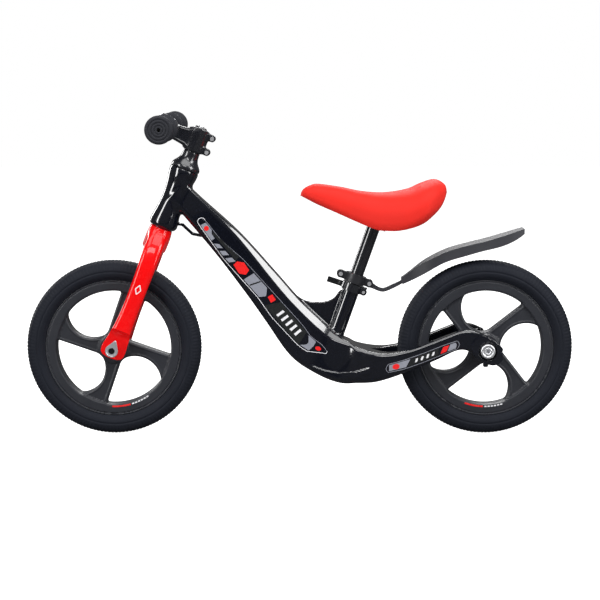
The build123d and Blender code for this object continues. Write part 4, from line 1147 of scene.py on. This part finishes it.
def makeFrameArt():
    art = {name: Art(frameSurface) for name in ("Red", "Grey", "Dark", "White")}
    beam = bandOf(frameArt["beamLow"], frameArt["beamHigh"])

    def put(name, corners, lift=0.0, band=beam):
        art[name].shape([band(u, v) for u, v in corners], lift)

    edge = [beam(u, 0.0) for u in np.linspace(0.0, 1.0, 40)]
    top = [beam(u, 1.0) for u in np.linspace(0.0, 1.0, 40)]
    art["White"].line(edge, 0.9)
    art["Grey"].line(top, 0.7)
    start, stop = np.array(beam(0, 0)), np.array(beam(0, 1))
    half, mid = (stop - start) / 2, (stop + start) / 2
    out = np.array([-half[1], half[0]])
    art["White"].line([mid - half * math.cos(a) + out * math.sin(a) for a in np.linspace(0, math.pi, 14)], 0.9)
    art["White"].line([beam(1, v) for v in np.linspace(0, 1, 6)], 0.9)
    put("Grey", [(0.015, 0.12), (0.115, 0.12), (0.115, 0.55), (0.07, 0.62), (0.07, 0.88), (0.015, 0.88)])
    art["Red"].blob(beam(0.045, 0.48), 4.2, 4.2, 45, lift=0.12)
    put("Dark", [(0.085, 0.66), (0.28, 0.60), (0.28, 0.95), (0.085, 0.95)])
    for u in (0.135, 0.185, 0.235):
        put("Grey", [(u, 0.14), (u + 0.03, 0.14), (u + 0.05, 0.54), (u + 0.02, 0.54)], lift=0.1)
    put("Red", [(0.29, 0.25), (0.345, 0.14), (0.375, 0.42), (0.37, 0.80), (0.32, 0.90), (0.29, 0.60)], lift=0.1)
    put("Grey", [(0.385, 0.10), (0.51, 0.10), (0.535, 0.50), (0.51, 0.90), (0.40, 0.90)], lift=0.05)
    put("Dark", [(0.425, 0.14), (0.433, 0.14), (0.463, 0.86), (0.455, 0.86)], lift=0.15)
    put("Red", [(0.545, 0.55), (0.58, 0.48), (0.59, 0.82), (0.555, 0.88)], lift=0.1)
    put("Dark", [(0.56, 0.05), (0.84, 0.05), (0.84, 0.95), (0.62, 0.95)])
    for i in range(5):
        u = 0.645 + 0.035 * i
        put("White", [(u, 0.28), (u + 0.014, 0.28), (u + 0.026, 0.74), (u + 0.012, 0.74)], lift=0.15)
    put("Grey", [(0.845, 0.08), (0.87, 0.30), (0.885, 0.50), (0.86, 0.92),
                 (0.915, 0.92), (0.915, 0.50), (0.905, 0.08)])
    art["Red"].blob(beam(0.945, 0.45), 5.0, 3.4, -20, lift=0.12)
    stay = bandOf(frameArt["stayLow"], frameArt["stayHigh"])
    for v in (0.0, 1.0):
        art["Grey"].line([stay(u, v) for u in np.linspace(0.04, 0.96, 40)], 0.8)
    for u, bulge in ((0.04, -0.03), (0.96, 0.03)):
        art["Grey"].line([stay(u + bulge * math.sin(v * math.pi), v) for v in np.linspace(0, 1, 9)], 0.8)
    put("Grey", [(0.05, 0.14), (0.27, 0.14), (0.33, 0.86), (0.05, 0.86)], band=stay)
    art["Red"].blob(stay(0.14, 0.5), 6.0, 4.6, 15, lift=0.12)
    put("Dark", [(0.29, 0.14), (0.71, 0.14), (0.71, 0.86), (0.35, 0.86)], band=stay)
    for i in range(4):
        u = 0.39 + 0.075 * i
        put("White", [(u, 0.32), (u + 0.03, 0.32), (u + 0.045, 0.70), (u + 0.015, 0.70)], lift=0.15, band=stay)
    put("Red", [(0.735, 0.18), (0.815, 0.18), (0.855, 0.82), (0.775, 0.82)], lift=0.1, band=stay)
    put("Grey", [(0.83, 0.14), (0.94, 0.14), (0.955, 0.50), (0.94, 0.86), (0.87, 0.86)], band=stay)
    for name, slotName in printSlots.items():
        art[name].finish("framePrint" + name, "frame", "print" + name, slotName)


def makeForkArt():
    # a plain diamond outline
    mark = Art(forkSurface, fromSteering)
    corners = [(3.5, 102.0), (8.0, 110.0), (3.5, 118.0), (-1.0, 110.0)]
    for start, end in zip(corners, corners[1:] + corners[:1]):
        mark.line([start, end], 1.5)
    mark.finish("forkPrint", "steering", "printWhite", printSlots["White"])


def makeRimArt():
    # a red bar and white dashes on each side of each rim
    for end, start in (("front", -92.0), ("rear", -110.0)):
        axle = bike[end + "Axle"]
        dashes = [(start + 19.5 + 3.1 * i, start + 21.6 + 3.1 * i) for i in range(6)]
        for name, spans in (("Red", [(start, start + 18.0)]), ("White", dashes)):
            art = Art(lambda x, y, z: y - 0 * x - wheelSkin["halfRim"])
            for a0, a1 in spans:
                angles = np.radians(np.linspace(a0, a1, 12))
                inner, outer = (96.6, 99.4) if name == "Red" else (96.9, 99.1)
                rows = [[(axle + r * math.cos(a), bike["wheelRadius"] + r * math.sin(a)) for a in angles]
                        for r in (inner, outer)]
                art.strip(rows[0], rows[1])
            art.finish(end + "Rim" + name, end + "_wheel", "print" + name, printSlots[name])


makeFrameArt()
makeForkArt()
makeRimArt()
print("prints ready")


# the small parts, in their CAD shapes
slotFinish = {
    "frame_black": "frameGloss", "fork_red": "forkGloss", "black_alloy": "blackAlloy", "post_black": "postGloss",
    "zinc_steel": "zincSteel", "bearing_steel": "groundSteel", "tyre_foam": "tyreFoam",
    "wheel_plastic": "wheelPlastic", "mudguard_plastic": "guardPlastic", "black_plastic": "blackPlastic",
    "grip_rubber": "gripRubber", "saddle_red": "saddleSkin",
}
# the crown race and the front axle take steel darkened as painted shade
partFinish = {
    "crown_race": "steelPaintedShade", "front_axle": "steelPaintedShade", "front_axle_nuts": "groundSteel",
    "seat_clamp_collar": "postGloss", "quick_release_lever": "postGloss", "quick_release_nut": "postGloss",
}
for part in frame["record"]["subparts"]:
    node = frame["nodes"][part["node"]]
    if not node.hide_render:
        dress(node, partFinish.get(part["node"], slotFinish[part["material_slot"]]))
